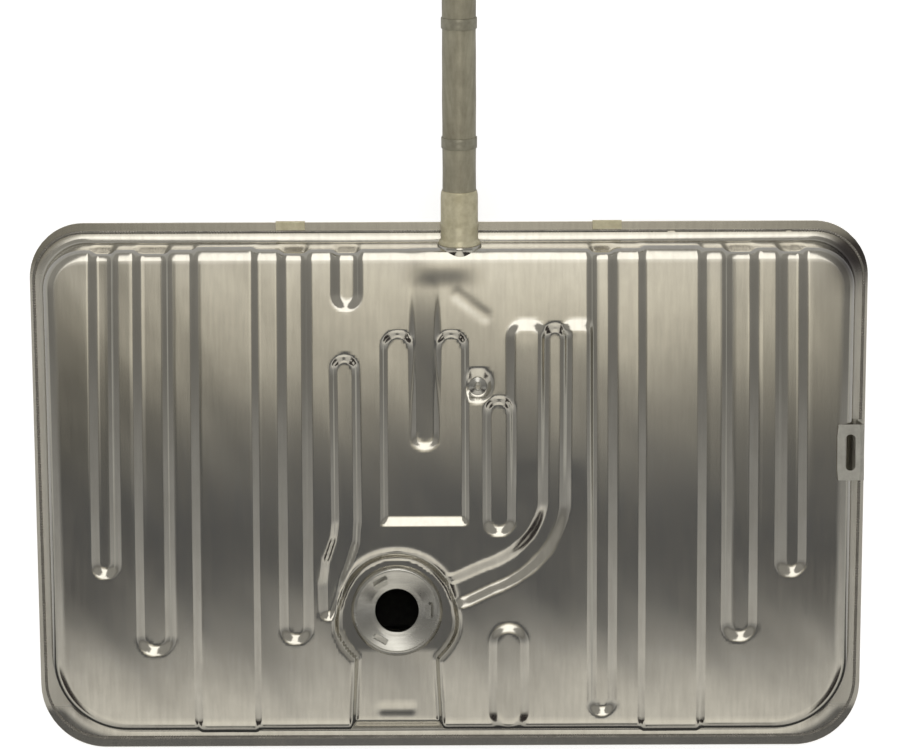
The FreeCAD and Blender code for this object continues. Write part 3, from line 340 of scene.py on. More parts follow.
@dataclass(frozen=True)
class Slot:
    """A straight pressed groove or bead along Y with round ends."""

    x: float
    width: float
    low: float
    high: float
    height: float
    soft: float = 7.0

    def distance(self, x: Array, y: Array) -> Array:
        """Signed distance to the slot's edge.

        Args:
            x: X of each point.
            y: Y of each point.

        Returns:
            The distance, negative inside.
        """
        half = self.width / 2
        beyond = np.maximum(np.maximum(y - (self.high - half), (self.low + half) - y), 0.0)
        return np.hypot(x - self.x, beyond) - half

    def relief(self, x: Array, y: Array) -> Array:
        """Height that the slot adds at x and y."""
        return self.height * rise(self.distance(x, y), self.soft)


@dataclass(frozen=True)
class Land:
    """A raised or sunk panel with straight sides and slightly rounded corners."""

    left: float
    right: float
    low: float
    high: float
    height: float
    soft: float = 7.0
    corner: float = 8.0

    def distance(self, x: Array, y: Array) -> Array:
        """Signed distance to the panel's edge.

        Args:
            x: X of each point.
            y: Y of each point.

        Returns:
            The distance, negative inside.
        """
        dx = np.abs(x - (self.left + self.right) / 2) - (self.right - self.left) / 2 + self.corner
        dy = np.abs(y - (self.low + self.high) / 2) - (self.high - self.low) / 2 + self.corner
        outside = np.hypot(np.maximum(dx, 0.0), np.maximum(dy, 0.0))
        return outside + np.minimum(np.maximum(dx, dy), 0.0) - self.corner

    def relief(self, x: Array, y: Array) -> Array:
        """Height that the panel adds at x and y."""
        return self.height * rise(self.distance(x, y), self.soft)


@dataclass(frozen=True)
class Channel:
    """A pressed channel that follows a bent centre line, with its own half width at each point."""

    points: tuple[Triple, ...]
    height: float
    soft: float = 7.0

    def distance(self, x: Array, y: Array) -> Array:
        """Signed distance to the channel's edge.

        Args:
            x: X of each point.
            y: Y of each point.

        Returns:
            The distance, negative inside.
        """
        best = np.full(np.shape(x), 1e6)
        for (x0, y0, r0), (x1, y1, r1) in zip(self.points, self.points[1:]):
            run, climb = x1 - x0, y1 - y0
            t = np.clip(((x - x0) * run + (y - y0) * climb) / (run * run + climb * climb), 0.0, 1.0)
            best = np.minimum(best, np.hypot(x - x0 - t * run, y - y0 - t * climb) - r0 - t * (r1 - r0))
        return best

    def relief(self, x: Array, y: Array) -> Array:
        """Height that the channel adds at x and y."""
        return self.height * rise(self.distance(x, y), self.soft)


# Mesh helpers


def grid_lines(low: float, high: float, marks: list[float], fine: float, near: float, coarse: float) -> Array:
    """Chooses coordinates that stand close together near the marks.

    Args:
        low: First coordinate.
        high: Last coordinate.
        marks: Where the surface turns.
        fine: Spacing at a mark.
        near: How far the fine spacing reaches.
        coarse: Widest spacing.

    Returns:
        The coordinates, in order.
    """
    places = np.array(marks)
    out = [low]
    while out[-1] < high:
        away = max(0.0, float(np.min(np.abs(places - out[-1] - fine))) - near)
        out.append(out[-1] + min(coarse, fine + 0.32 * away))
    line = np.array(out)
    return low + (line - low) * (high - low) / (line[-1] - low)


def make_mesh(name: str, points: Array, faces: list[tuple[int, ...]], smooth: bool = True) -> Piece:
    """Makes a mesh object from points in millimetres.

    Args:
        name: Name of the piece.
        points: Corner positions, one row each.
        faces: Corner numbers of each face, counter-clockwise from outside.
        smooth: Whether the faces are shaded smooth.

    Returns:
        The new object, linked to the scene.
    """
    mesh = bpy.data.meshes.new(name)
    mesh.from_pydata((np.asarray(points, float) * MM).tolist(), [], faces)
    mesh.validate()
    mesh.polygons.foreach_set("use_smooth", [smooth] * len(mesh.polygons))
    mesh.update()
    piece = bpy.data.objects.new(name, mesh)
    bpy.context.scene.collection.objects.link(piece)
    return piece


def harden(piece: Piece, width: float, angle: float = 35.0, segments: int = 2) -> None:
    """Bevels the sharp edges of a piece.

    Args:
        piece: The piece.
        width: Width of the bevel in millimetres.
        angle: Edges sharper than this many degrees are bevelled.
        segments: Faces across the bevel.
    """
    bevel = piece.modifiers.new("edge_rounding", "BEVEL")
    bevel.width = width * MM
    bevel.segments = segments
    bevel.limit_method = "ANGLE"
    bevel.angle_limit = math.radians(angle)
    bevel.harden_normals = False


def turned(name: str, profile: list[Pair], segments: int = 96) -> Piece:
    """Turns a closed profile of radius and height once round Z.

    Args:
        name: Name of the piece.
        profile: Corners as radius and height, counter-clockwise seen with the radius to the right.
        segments: Faces round the circle.

    Returns:
        The turned piece, standing on the origin.
    """
    around = np.linspace(0.0, 2 * math.pi, segments, endpoint=False)
    ring = np.array(profile)
    radii, heights = ring[:, 0], np.tile(ring[:, 1], (segments, 1))
    points = np.stack([np.outer(np.cos(around), radii), np.outer(np.sin(around), radii), heights], axis=2)
    points = points.reshape(-1, 3)
    count = len(profile)
    faces = []
    for i in range(segments):
        j = (i + 1) % segments
        for k in range(count):
            m = (k + 1) % count
            faces.append((i * count + k, j * count + k, j * count + m, i * count + m))
    return make_mesh(name, points, faces)


def bent_strip(
    name: str, line: list[Pair], bend: float, sheet: float, width: float
) -> Piece:
    """A strip of sheet that follows a bent line in its own XY plane and is width deep along Z.

    Args:
        name: Name of the piece.
        line: Corners of the strip's middle line.
        bend: Radius of the bends.
        sheet: Thickness.
        width: Width of the strip.

    Returns:
        The strip, centred on Z.
    """
    path: list[Vector] = [Vector(line[0])]
    for before, here, after in zip(line, line[1:], line[2:]):
        a, b, c = Vector(before), Vector(here), Vector(after)
        u, v = (a - b).normalized(), (c - b).normalized()
        half = u.angle(v) / 2
        reach = bend / math.tan(half)
        centre = b + (u + v).normalized() * (bend / math.sin(half))
        start, end = b + u * reach - centre, b + v * reach - centre
        for step in range(7):
            path.append(centre + start.slerp(end, step / 6))
    path.append(Vector(line[-1]))
    left, right = [], []
    for i, here in enumerate(path):
        along = (path[min(i + 1, len(path) - 1)] - path[max(i - 1, 0)]).normalized()
        side = Vector((-along.y, along.x)) * (sheet / 2)
        left.append(here + side)
        right.append(here - side)
    outline = left + right[::-1]
    count, half = len(outline), width / 2
    points = [(p.x, p.y, -half) for p in outline] + [(p.x, p.y, half) for p in outline]
    faces: list[tuple[int, ...]] = []
    for i in range(count):
        j = (i + 1) % count
        faces.append((i, i + count, j + count, j))
    steps = len(path)
    for i in range(steps - 1):
        a, b, c, d = i, i + 1, count - 2 - i, count - 1 - i
        faces.append((a, b, c, d))
        faces.append((d + count, c + count, b + count, a + count))
    return make_mesh(name, np.array(points), faces, smooth=False)


def slotted_plate(
    name: str, sides: Pair, half: float, middle: float, radius: float, thick: float
) -> Piece:
    """A flat plate with a long slot along Y.

    Args:
        name: Name of the piece.
        sides: Its left and right edge.
        half: Half its length along Y.
        middle: The slot's centre line.
        radius: Half the slot's width; its ends stay as far from the plate's ends.
        thick: Thickness.

    Returns:
        The plate, centred on Z.
    """
    around = np.linspace(0.0, 2 * math.pi, 64, endpoint=False)
    straight = half - radius * 3
    inner = np.column_stack([middle + radius * np.cos(around), radius * np.sin(around)])
    inner[:, 1] += np.where(np.sin(around) > 1e-9, straight, -straight)
    outer = np.empty_like(inner)
    for i, (x, y) in enumerate(inner):
        run, climb = math.cos(around[i]), math.sin(around[i])
        outer[i] = (sides[1] if run > 0 else sides[0], y)
        if abs(climb) > 0.72:
            share = min(1.0, abs(run) / 0.69)
            outer[i] = (middle + share * (outer[i][0] - middle), math.copysign(half, climb))
    count = len(inner)
    rings = [np.column_stack([ring, np.full(count, z)]) for z in (thick / 2, -thick / 2) for ring in (inner, outer)]
    faces = []
    for i in range(count):
        j = (i + 1) % count
        for a, b in ((0, 1), (1, 3), (3, 2), (2, 0)):
            faces.append((a * count + i, b * count + i, b * count + j, a * count + j))
    return make_mesh(name, np.concatenate(rings), faces, smooth=False)


def settle(piece: Piece, place: Matrix) -> None:
    """Moves a piece's mesh, so that its object stays at the origin.

    Args:
        piece: The piece.
        place: The move, in metres.
    """
    piece.data.transform(place)
    piece.data.update()


def hand_over(piece: Piece, finish: Steel, slot: str, *nodes: str) -> None:
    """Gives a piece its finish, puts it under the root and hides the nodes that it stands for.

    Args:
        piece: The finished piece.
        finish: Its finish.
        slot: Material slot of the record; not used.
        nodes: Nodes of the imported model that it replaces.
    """
    if not piece.data.materials:
        piece.data.materials.append(finish.build())
    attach(piece, ROOT)
    if nodes:
        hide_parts(*nodes)
    log.info("%s: %d faces", piece.name, len(piece.data.polygons))


# The two pressings


@dataclass
class Pressing:
    """One half of the tank: a pressed face, rounded into leaning walls that end in the seam flange."""

    name: str
    face: Face
    node: str
    rear_half: float = 517.5
    front_half: float = 509.5
    half_length: float = 327.0
    flange_side: float = 13.0
    flange_end: float = 21.0
    flange_corners: Pair = (68.0, 80.0)
    wall_corners: Pair = (60.0, 100.0)
    flange_z: float = 99.0
    draft: float = 12.0
    crest: float = 14.0
    sheet: float = 1.0
    spacing: Triple = (2.7, 3.2, 16.0)
    shapes: list = field(default_factory=list)

    def height(self, x: Array, y: Array) -> Array:
        """Height of the plain face, without its relief."""
        raise NotImplementedError

    def relief(self, x: Array, y: Array) -> Array:
        """Height that the pressed shapes add, outwards.

        Args:
            x: X of each point.
            y: Y of each point.

        Returns:
            The added height.
        """
        total = np.zeros(np.shape(x))
        for shape in self.shapes:
            total = total + shape.relief(x, y)
        return total

    def marks(self) -> tuple[list[float], list[float]]:
        """Where the grid has to be fine, along X and along Y."""
        raise NotImplementedError

    def run_in(self, y: Array) -> Array:
        """Distance in plan from the foot of the wall to where the flat face starts.

        Args:
            y: Y of each point.

        Returns:
            The distance.
        """
        lean = math.radians(self.draft)
        level = self.height(np.zeros(np.shape(y)), y)
        drop = self.crest * (1 - math.sin(lean))
        climb = np.abs(level - self.flange_z) - drop
        return climb * math.tan(lean) + self.crest * math.cos(lean)

    def half_width(self, y: Array) -> Array:
        """Half width of the flat face at y.

        Args:
            y: Y of each point.

        Returns:
            The half width.
        """
        share = (y + self.half_length) / (2 * self.half_length)
        edge = self.front_half + (self.rear_half - self.front_half) * share
        return edge - self.flange_side - self.run_in(y)

    def build(self) -> Piece:
        """Builds the pressing as one skin and gives it the sheet's thickness.

        Returns:
            The pressing's object.
        """
        up = self.face.value
        ends = self.run_in(np.array([self.half_length - 40.0, 40.0 - self.half_length]))
        rear_y = self.half_length - self.flange_end - float(ends[0])
        front_y = -(self.half_length - self.flange_end - float(ends[1]))
        corners = [self.wall_corners[0] - float(ends[0]), self.wall_corners[1] - float(ends[1])]
        marks_x, marks_y = self.marks()
        widest = float(self.half_width(np.array([rear_y]))[0])
        xs = grid_lines(-widest, widest, marks_x, *self.spacing)
        ys = grid_lines(front_y, rear_y, marks_y, self.spacing[0] * 1.25, self.spacing[1] + 1.0, self.spacing[2])
        gx, gy = np.meshgrid(xs, ys, indexing="ij")
        px, py, centre_x, centre_y, in_corner = self._rounded(gx, gy, rear_y, front_y, corners, widest)
        rim = self._rim(len(xs), len(ys))
        flat = np.stack([px, py], axis=2).reshape(-1, 2)
        edge = flat[rim]
        centres = np.stack([centre_x, centre_y], axis=2).reshape(-1, 2)[rim]
        turned_in = in_corner.reshape(-1)[rim]
        normal = np.zeros_like(edge)
        side = np.where(np.abs(edge[:, 0]) > np.abs(self.half_width(edge[:, 1])) - 0.01, 1.0, 0.0)
        normal[:, 0] = np.sign(edge[:, 0]) * side
        normal[:, 1] = np.sign(edge[:, 1]) * (1 - side)
        radial = edge - centres
        length = np.maximum(np.hypot(radial[:, 0], radial[:, 1]), 1e-6)[:, None]
        normal = np.where(turned_in[:, None], radial / length, normal)
        top = self.height(flat[:, 0], flat[:, 1]) + up * self.relief(flat[:, 0], flat[:, 1])
        skin = [np.column_stack([flat, top])]
        skin += self._rings(edge, normal, up)
        points = np.concatenate(skin)
        faces = self._faces(len(xs), len(ys), rim, len(skin) - 1)
        faces, points = self.open_up(points, faces)
        if up < 0:
            faces = [face[::-1] for face in faces]
        return make_mesh(self.name, points, faces)

    def _rounded(
        self, gx: Array, gy: Array, rear_y: float, front_y: float, corners: list[float], widest: float
    ) -> tuple[Array, Array, Array, Array, Array]:
        """Bends a square grid into the face's plan with its round corners.

        Args:
            gx: Grid coordinates across.
            gy: Grid coordinates along.
            rear_y: Rear end of the flat face.
            front_y: Front end of the flat face.
            corners: Corner radius at the rear and at the front.
            widest: Half width of the grid.

        Returns:
            X and Y of each point, the centre of its corner, and whether it lies in a corner.
        """
        keep = 436.0
        half = self.half_width(gy)
        stretch = (half - keep) / (widest - keep)
        px = np.where(np.abs(gx) > keep, np.sign(gx) * (keep + (np.abs(gx) - keep) * stretch), gx)
        py = gy.copy()
        cx, cy = np.zeros_like(px), np.zeros_like(py)
        inside = np.zeros(px.shape, bool)
        for end, sign, radius in ((rear_y, 1.0, corners[0]), (front_y, -1.0, corners[1])):
            at_x, at_y = half - radius, abs(end) - radius
            a = (np.abs(px) - at_x) / radius
            b = (py * sign - at_y) / radius
            here = (a > 0) & (b > 0)
            a, b = np.clip(a, 0, 1), np.clip(b, 0, 1)
            round_x = at_x + radius * a * np.sqrt(1 - b * b / 2)
            round_y = at_y + radius * b * np.sqrt(1 - a * a / 2)
            cx = np.where(here, np.sign(px) * at_x, cx)
            cy = np.where(here, sign * at_y, cy)
            px = np.where(here, np.sign(px) * round_x, px)
            py = np.where(here, sign * round_y, py)
            inside |= here
        return px, py, cx, cy, inside

    @staticmethod
    def _rim(nx: int, ny: int) -> Array:
        """Numbers of the grid's outer points, counter-clockwise.

        Args:
            nx: Grid lines across.
            ny: Grid lines along.

        Returns:
            The numbers.
        """
        front = [i * ny for i in range(nx)]
        right = [(nx - 1) * ny + j for j in range(1, ny)]
        rear = [i * ny + ny - 1 for i in range(nx - 2, -1, -1)]
        left = [j for j in range(ny - 2, 0, -1)]
        return np.array(front + right + rear + left)

    def _rings(self, edge: Array, normal: Array, up: int) -> list[Array]:
        """Rings of points that lead from the flat face over the crest and wall to the flange's edge.

        Args:
            edge: Rim of the flat face in plan.
            normal: Outward direction in plan at each point of the rim.
            up: 1 for the top half, -1 for the bottom half.

        Returns:
            One array of points for each ring.
        """
        lean = math.radians(self.draft)
        level = self.height(edge[:, 0], edge[:, 1])
        reach = self.run_in(edge[:, 1])
        total = math.pi / 2 - lean
        rings = []

        def add(out: Array, z: Array, slope: float, fade: float) -> None:
            plan = edge + normal * np.asarray(out).reshape(-1, 1)
            lift = self.relief(plan[:, 0], plan[:, 1]) * fade
            moved = plan + normal * (lift * math.sin(slope))[:, None]
            rings.append(np.column_stack([moved, z + up * lift * math.cos(slope)]))

        ones = np.ones(len(edge))
        for step in range(1, 7):
            slope = total * step / 6
            add(ones * self.crest * math.sin(slope), level - up * self.crest * (1 - math.cos(slope)), slope, 1.0)
        crest_out = self.crest * math.sin(total)
        crest_z = level - up * self.crest * (1 - math.cos(total))
        root = 3.6
        foot_z = self.flange_z + up * root * (1 - math.sin(lean))
        foot_out = reach - root * math.cos(lean)
        for share, fade in ((0.12, 0.94), (0.3, 0.78), (0.5, 0.5), (0.7, 0.24), (0.85, 0.08), (1.0, 0.0)):
            add(crest_out + (foot_out - crest_out) * share, crest_z + (foot_z - crest_z) * share, total, fade)
        for step in (1, 2, 3):
            slope = total * (1 - step / 3)
            out = reach + root * (math.tan(total / 2) - math.sin(slope))
            add(out, self.flange_z + up * root * (1 - math.cos(slope)) * ones, 0.0, 0.0)
        start = reach + root * math.tan(total / 2)
        end = self._to_edge(edge, normal)
        for out in (start + (end - start) * 0.5, end - 0.5, end):
            add(out, self.flange_z * ones, 0.0, 0.0)
        return rings

    def _to_edge(self, edge: Array, normal: Array) -> Array:
        """How far the flange's outline lies from the flat face, measured along the outward direction.

        Args:
            edge: Rim of the flat face in plan.
            normal: Outward direction in plan at each point of the rim.

        Returns:
            The distance for each point.
        """
        rear, front = self.flange_corners
        far = np.zeros(len(edge))
        for _ in range(40):
            at = edge + normal * far[:, None]
            radius = np.where(at[:, 1] > 0, rear, front)
            share = (at[:, 1] + self.half_length) / (2 * self.half_length)
            dx = np.abs(at[:, 0]) - self.front_half - (self.rear_half - self.front_half) * share + radius
            dy = np.abs(at[:, 1]) - self.half_length + radius
            outside = np.hypot(np.maximum(dx, 0.0), np.maximum(dy, 0.0))
            far -= outside + np.minimum(np.maximum(dx, dy), 0.0) - radius
        return far

    @staticmethod
    def _faces(nx: int, ny: int, rim: Array, rings: int) -> list[tuple[int, ...]]:
        """Faces of the grid and of the rings round it.

        Args:
            nx: Grid lines across.
            ny: Grid lines along.
            rim: Numbers of the grid's outer points.
            rings: Number of rings.

        Returns:
            The faces, counter-clockwise from above.
        """
        faces = []
        for i in range(nx - 1):
            for j in range(ny - 1):
                a = i * ny + j
                faces.append((a, a + ny, a + ny + 1, a + 1))
        count = len(rim)
        inner = rim
        for ring in range(rings):
            outer = nx * ny + ring * count + np.arange(count)
            for k in range(count):
                m = (k + 1) % count
                faces.append((int(inner[k]), int(outer[k]), int(outer[m]), int(inner[m])))
            inner = outer
        return faces

    def open_up(self, points: Array, faces: list[tuple[int, ...]]) -> tuple[list[tuple[int, ...]], Array]:
        """Cuts the pressing's holes. The plain pressing has none."""
        return faces, points

    def thicken(self, piece: Piece) -> None:
        """Gives the skin the sheet's thickness, inwards."""
        wall = piece.modifiers.new("sheet_thickness", "SOLIDIFY")
        wall.thickness = self.sheet * MM
        wall.offset = -1.0

    def dress(self, piece: Piece, finish: Steel) -> None:
        """Thickens the pressing and hands it over."""
        self.thicken(piece)
        hand_over(piece, finish, "coated_sheet", self.node)


def bent_line() -> tuple[Triple, ...]:
    """Centre line of the hose channel: straight, then a smooth bend into the sender's recess.

    Returns:
        X, Y and half width of each point.
    """
    out = [(128.0, 187.0, 13.0), (127.0, 60.0, 13.0)]
    for step in range(13):
        turn = math.radians(6 + step * 62 / 12)
        out.append((-3.0 + 130.0 * math.cos(turn), -7.0 - 106.0 * math.sin(turn), 13.0 + step * 0.22))
    return tuple(out + [(16.0, -119.0, 16.0), (-10.0, -127.0, 16.0)])


@dataclass
class TopHalf(Pressing):
    """The upper pressing, with the grooves, lands and recess that the photograph shows."""

    peak: float = 168.0
    peak_y: float = 22.0
    crown: float = 4800.0
    sender: Pair = (-65.0, -147.0)
    recess: float = 77.0
    recess_z: float = 153.0
    hole: float = 28.1
    boss: float = 27.0
    neck: Triple = (13.0, 302.0, 138.0)
    neck_rise: float = 12.0

    def __post_init__(self) -> None:
        """Lists the pressed shapes."""
        far = 420.0
        sunk, soft, steep = -5.0, 9.5, 6.5
        self.grooves = [
            Slot(-419.5, 24, -100, far, sunk, soft),
            Slot(-359.5, 37, -196, far, sunk, soft),
            Slot(-188, 30, -182, far, sunk, soft),
            Slot(-124, 28, 226, far, sunk, soft),
            Slot(60, 29.5, -49, 112, sunk, 8.0),
            Slot(185.5, 25, -273, far, sunk, soft),
            Slot(352.8, 33, -180, far, sunk, soft),
            Slot(415, 27, -100, far, sunk, soft),
            Channel(((-127, 149, 14), (-125.5, -36, 13.5), (-128, -60, 14), (-137, -87, 14), (-143, -113, 11),
                     (-147.5, -147, 6)), sunk, steep),
            Channel(bent_line(), sunk, 12.0),
            Channel(((10.0, 240, 6.0), (44.0, 214, 6.0)), -0.45, 10.0),
            Slot(34.5, 32, 113, 145, -3.5, 7.0),
        ]
        self.lands = [
            Land(-308, -235, -far, far, 3.2),
            Land(233.4, 306, -far, far, 3.2),
            Slot(71.5, 39, -292, -167, 3.2, 11.0),
        ]
        self.beads = [
            (Land(74, 114, -80, 203, 3.4, 11.0, 14.0), -60.0, 240.0),
            (Land(136, 176, -330, 203, 3.4, 11.0, 14.0), -260.0, 440.0),
        ]

    def height(self, x: Array, y: Array) -> Array:
        """Height of the crowned top.

        Args:
            x: X of each point.
            y: Y of each point.

        Returns:
            The height.
        """
        droop = (np.abs(x) / 480.0) ** 4 * 1.2
        return self.peak - (y - self.peak_y) ** 2 / (2 * self.crown) - droop

    def relief(self, x: Array, y: Array) -> Array:
        """Height that grooves, lands, beads, pocket, recess and waves add.

        Args:
            x: X of each point.
            y: Y of each point.

        Returns:
            The added height.
        """
        cut = np.zeros(np.shape(x))
        for groove in self.grooves:
            cut = np.minimum(cut, groove.relief(x, y))
        cut = np.minimum(cut, self._pocket(x, y))
        lift = np.zeros(np.shape(x))
        for land in self.lands:
            lift = np.maximum(lift, land.relief(x, y))
        for bead, fade_from, fade_over in self.beads:
            run_out = 1 - rise(x - 156.0, 60.0) * rise(y - 10.0, 60.0)
            lift = np.maximum(lift, bead.relief(x, y) * np.clip((y - fade_from) / fade_over, 0.0, 1.0) * run_out)
        total = cut + lift * rise(-cut - 2.0, 4.0) + self._hump(x, y)
        return self._recessed(x, y, total) + self._waves(x, y)

    def _pocket(self, x: Array, y: Array) -> Array:
        """The pocket in front of the neck, its two fingers and the tongue that slopes down between them.

        Args:
            x: X of each point.
            y: Y of each point.

        Returns:
            The added height, never above 0.
        """
        fingers = np.minimum(
            Slot(-62.5, 35, -60, 193, 0).distance(x, y), Slot(2.5, 34, -60, 193, 0).distance(x, y)
        )
        floor = Land(-80, 19, -36, 68, 0, corner=6).distance(x, y)
        below = -4.6 * rise(np.minimum(np.maximum(fingers, -36 - y), floor), 5.5)
        tongue = Slot(-29.5, 31, 55, 262, 1.0, 7.0).relief(x, y)
        return below * (1 - tongue) - tongue * rise(y - 160.0, 220.0) * 6.8

    def _hump(self, x: Array, y: Array) -> Array:
        """The rounded swelling over the neck's boss.

        Args:
            x: X of each point.
            y: Y of each point.

        Returns:
            The added height.
        """
        side = rise(np.abs(x + 6.0) - 34.0, 50.0)
        along = rise(262.0 - y, 30.0)
        return 1.5 * side * along * rise(y - 330.0, 60.0)

    def _recessed(self, x: Array, y: Array, total: Array) -> Array:
        """Lets the sender's recess and its run-out cut through everything else.

        Args:
            x: X of each point.
            y: Y of each point.
            total: Height that everything else adds.

        Returns:
            The added height.
        """
        middle, low = self.sender
        round_part = np.hypot(x - middle, y - low) - self.recess
        ahead = np.clip(low - y, 0.0, None)
        run_out = np.maximum(np.abs(x - middle) - 46.5 - ahead * 0.05, y - low)
        bevel = rise(round_part + 4.0, 15.0) * np.clip((y - low + 25.0) / 45.0, 0.0, 1.0)
        share = rise(np.minimum(round_part + 8.0 * np.clip((y - low + 25.0) / 45.0, 0.0, 1.0), run_out), 8.0)
        level = self.height(x, y)
        start = low - 48.0
        flush = level - float(self.height(np.zeros(1), np.full(1, start))[0])
        depth = self.recess_z - level + np.where(y < start, flush, 0.0)
        slot = Land(middle - 22, middle + 21, -275.0, -265.0, -0.45, 7.0, 3.0).relief(x, y)
        return (total - 2.6 * bevel) * (1 - share) + (depth + slot) * share

    @staticmethod
    def _waves(x: Array, y: Array) -> Array:
        """Slight unevenness of the drawn sheet.

        Args:
            x: X of each point.
            y: Y of each point.

        Returns:
            The added height.
        """
        out = np.zeros(np.shape(x))
        for fx, fy, phase, size in (
            (0.0041, 0.0052, 0.4, 0.20), (0.0093, 0.0037, 2.1, 0.10), (0.0142, 0.0081, 4.0, 0.035),
            (0.0230, 0.0060, 1.3, 0.016), (0.0170, 0.0190, 5.2, 0.012),
        ):
            out = out + size * np.sin(2 * math.pi * (fx * x + fy * y) + phase) * np.cos(math.pi * fy * x + phase)
        return out

    def marks(self) -> tuple[list[float], list[float]]:
        """Where the grid has to be fine, along X and along Y.

        Returns:
            Both lists.
        """
        across: list[float] = []
        along: list[float] = [193, 203, 162, 226, 112, 55, -36, -49, -272, -265, -100, -182, -196, -167, -180, -286]
        for slot in self.grooves[:8] + [self.lands[2]]:
            across += [slot.x - slot.width / 2, slot.x + slot.width / 2]
        for bead, _, _ in self.beads:
            across += [bead.left, bead.right]
        across += [-308, -235, 233.4, 306, -80, -45, -14, 19, -138, -112, 116, 140]
        across += list(np.arange(-145, 120, 22.0))
        across += [-8.0, 3.0, 13.0, 23.0, 34.0, -465.0, -453.0, 453.0, 465.0]
        along += list(np.arange(-228, -10, 11.0)) + [245.0, 262.0, 272.0]
        return across, along

    def open_up(self, points: Array, faces: list[tuple[int, ...]]) -> tuple[list[tuple[int, ...]], Array]:
        """Cuts the sender's hole and the neck's hole.

        Args:
            points: The skin's points.
            faces: The skin's faces.

        Returns:
            The faces that stay, and the points with each hole's rim drawn onto its circle.
        """
        points = points.copy()
        away = np.hypot(points[:, 0] - self.sender[0], points[:, 1] - self.sender[1])
        flat = points[:, 2] > self.recess_z - 4.0
        inside = (away < self.hole + 3.2) & flat
        axis = np.array([0.0, math.cos(math.radians(self.neck_rise)), math.sin(math.radians(self.neck_rise))])
        offset = points - np.array(self.neck)
        off_axis = np.linalg.norm(offset - np.outer(offset @ axis, axis), axis=1)
        in_neck = (off_axis < 16.0) & (points[:, 1] > 280.0)
        gone = inside | in_neck
        kept = [face for face in faces if not any(gone[i] for i in face)]
        used = np.zeros(len(points), bool)
        used[np.unique(np.array([i for face in kept for i in face]))] = True
        lost = np.zeros(len(points), bool)
        lost[np.unique(np.array([i for face in faces if any(gone[k] for k in face) for i in face]))] = True
        rim = used & lost & (away < self.hole + 12.0) & flat
        ratio = ((self.hole + 4.0) / np.maximum(away, 1e-6))[:, None]
        sender = np.array(self.sender)
        points[:, :2] = np.where(rim[:, None], sender + (points[:, :2] - sender) * ratio, points[:, :2])
        number = np.cumsum(used) - 1
        return [tuple(int(number[i]) for i in face) for face in kept], points[used]


@dataclass
class BottomHalf(Pressing):
    """The lower pressing, with strap channels, stiffening grooves and a floor that rises at both ends."""

    floor_front: float = 200.0
    floor_rear: float = 160.0
    front_curve: float = 380.0
    rear_curve: float = 300.0

    def __post_init__(self) -> None:
        """Lists the pressed shapes."""
        deep = -7.0
        self.shapes = [Slot(side * 270, 64, -430, 430, deep, 9.0) for side in (-1, 1)]
        self.shapes += [Slot(side * 150, 26, -170, 130, deep, 8.0) for side in (-1, 1)]
        self.shapes += [Slot(side * 50, 26, -60, 130, deep, 8.0) for side in (-1, 1)]

    def height(self, x: Array, y: Array) -> Array:
        """Height of the plain floor.

        Args:
            x: X of each point.
            y: Y of each point.

        Returns:
            The height.
        """
        rear = np.clip(y - self.floor_rear, 0.0, None)
        front = np.clip(-y - self.floor_front, 0.0, None)
        up_rear = self.rear_curve - np.sqrt(self.rear_curve**2 - rear**2)
        up_front = self.front_curve - np.sqrt(self.front_curve**2 - front**2)
        return up_rear + up_front + 0.0 * x

    def marks(self) -> tuple[list[float], list[float]]:
        """Where the grid has to be fine, along X and along Y.

        Returns:
            Both lists.
        """
        across = [side * (x + edge) for side in (-1, 1) for x in (50, 150) for edge in (-13, 13)]
        across += [side * (270 + edge) for side in (-1, 1) for edge in (-32, 32)]
        return across, [-165, -55, 125]


# Seam, seat, neck and small fittings


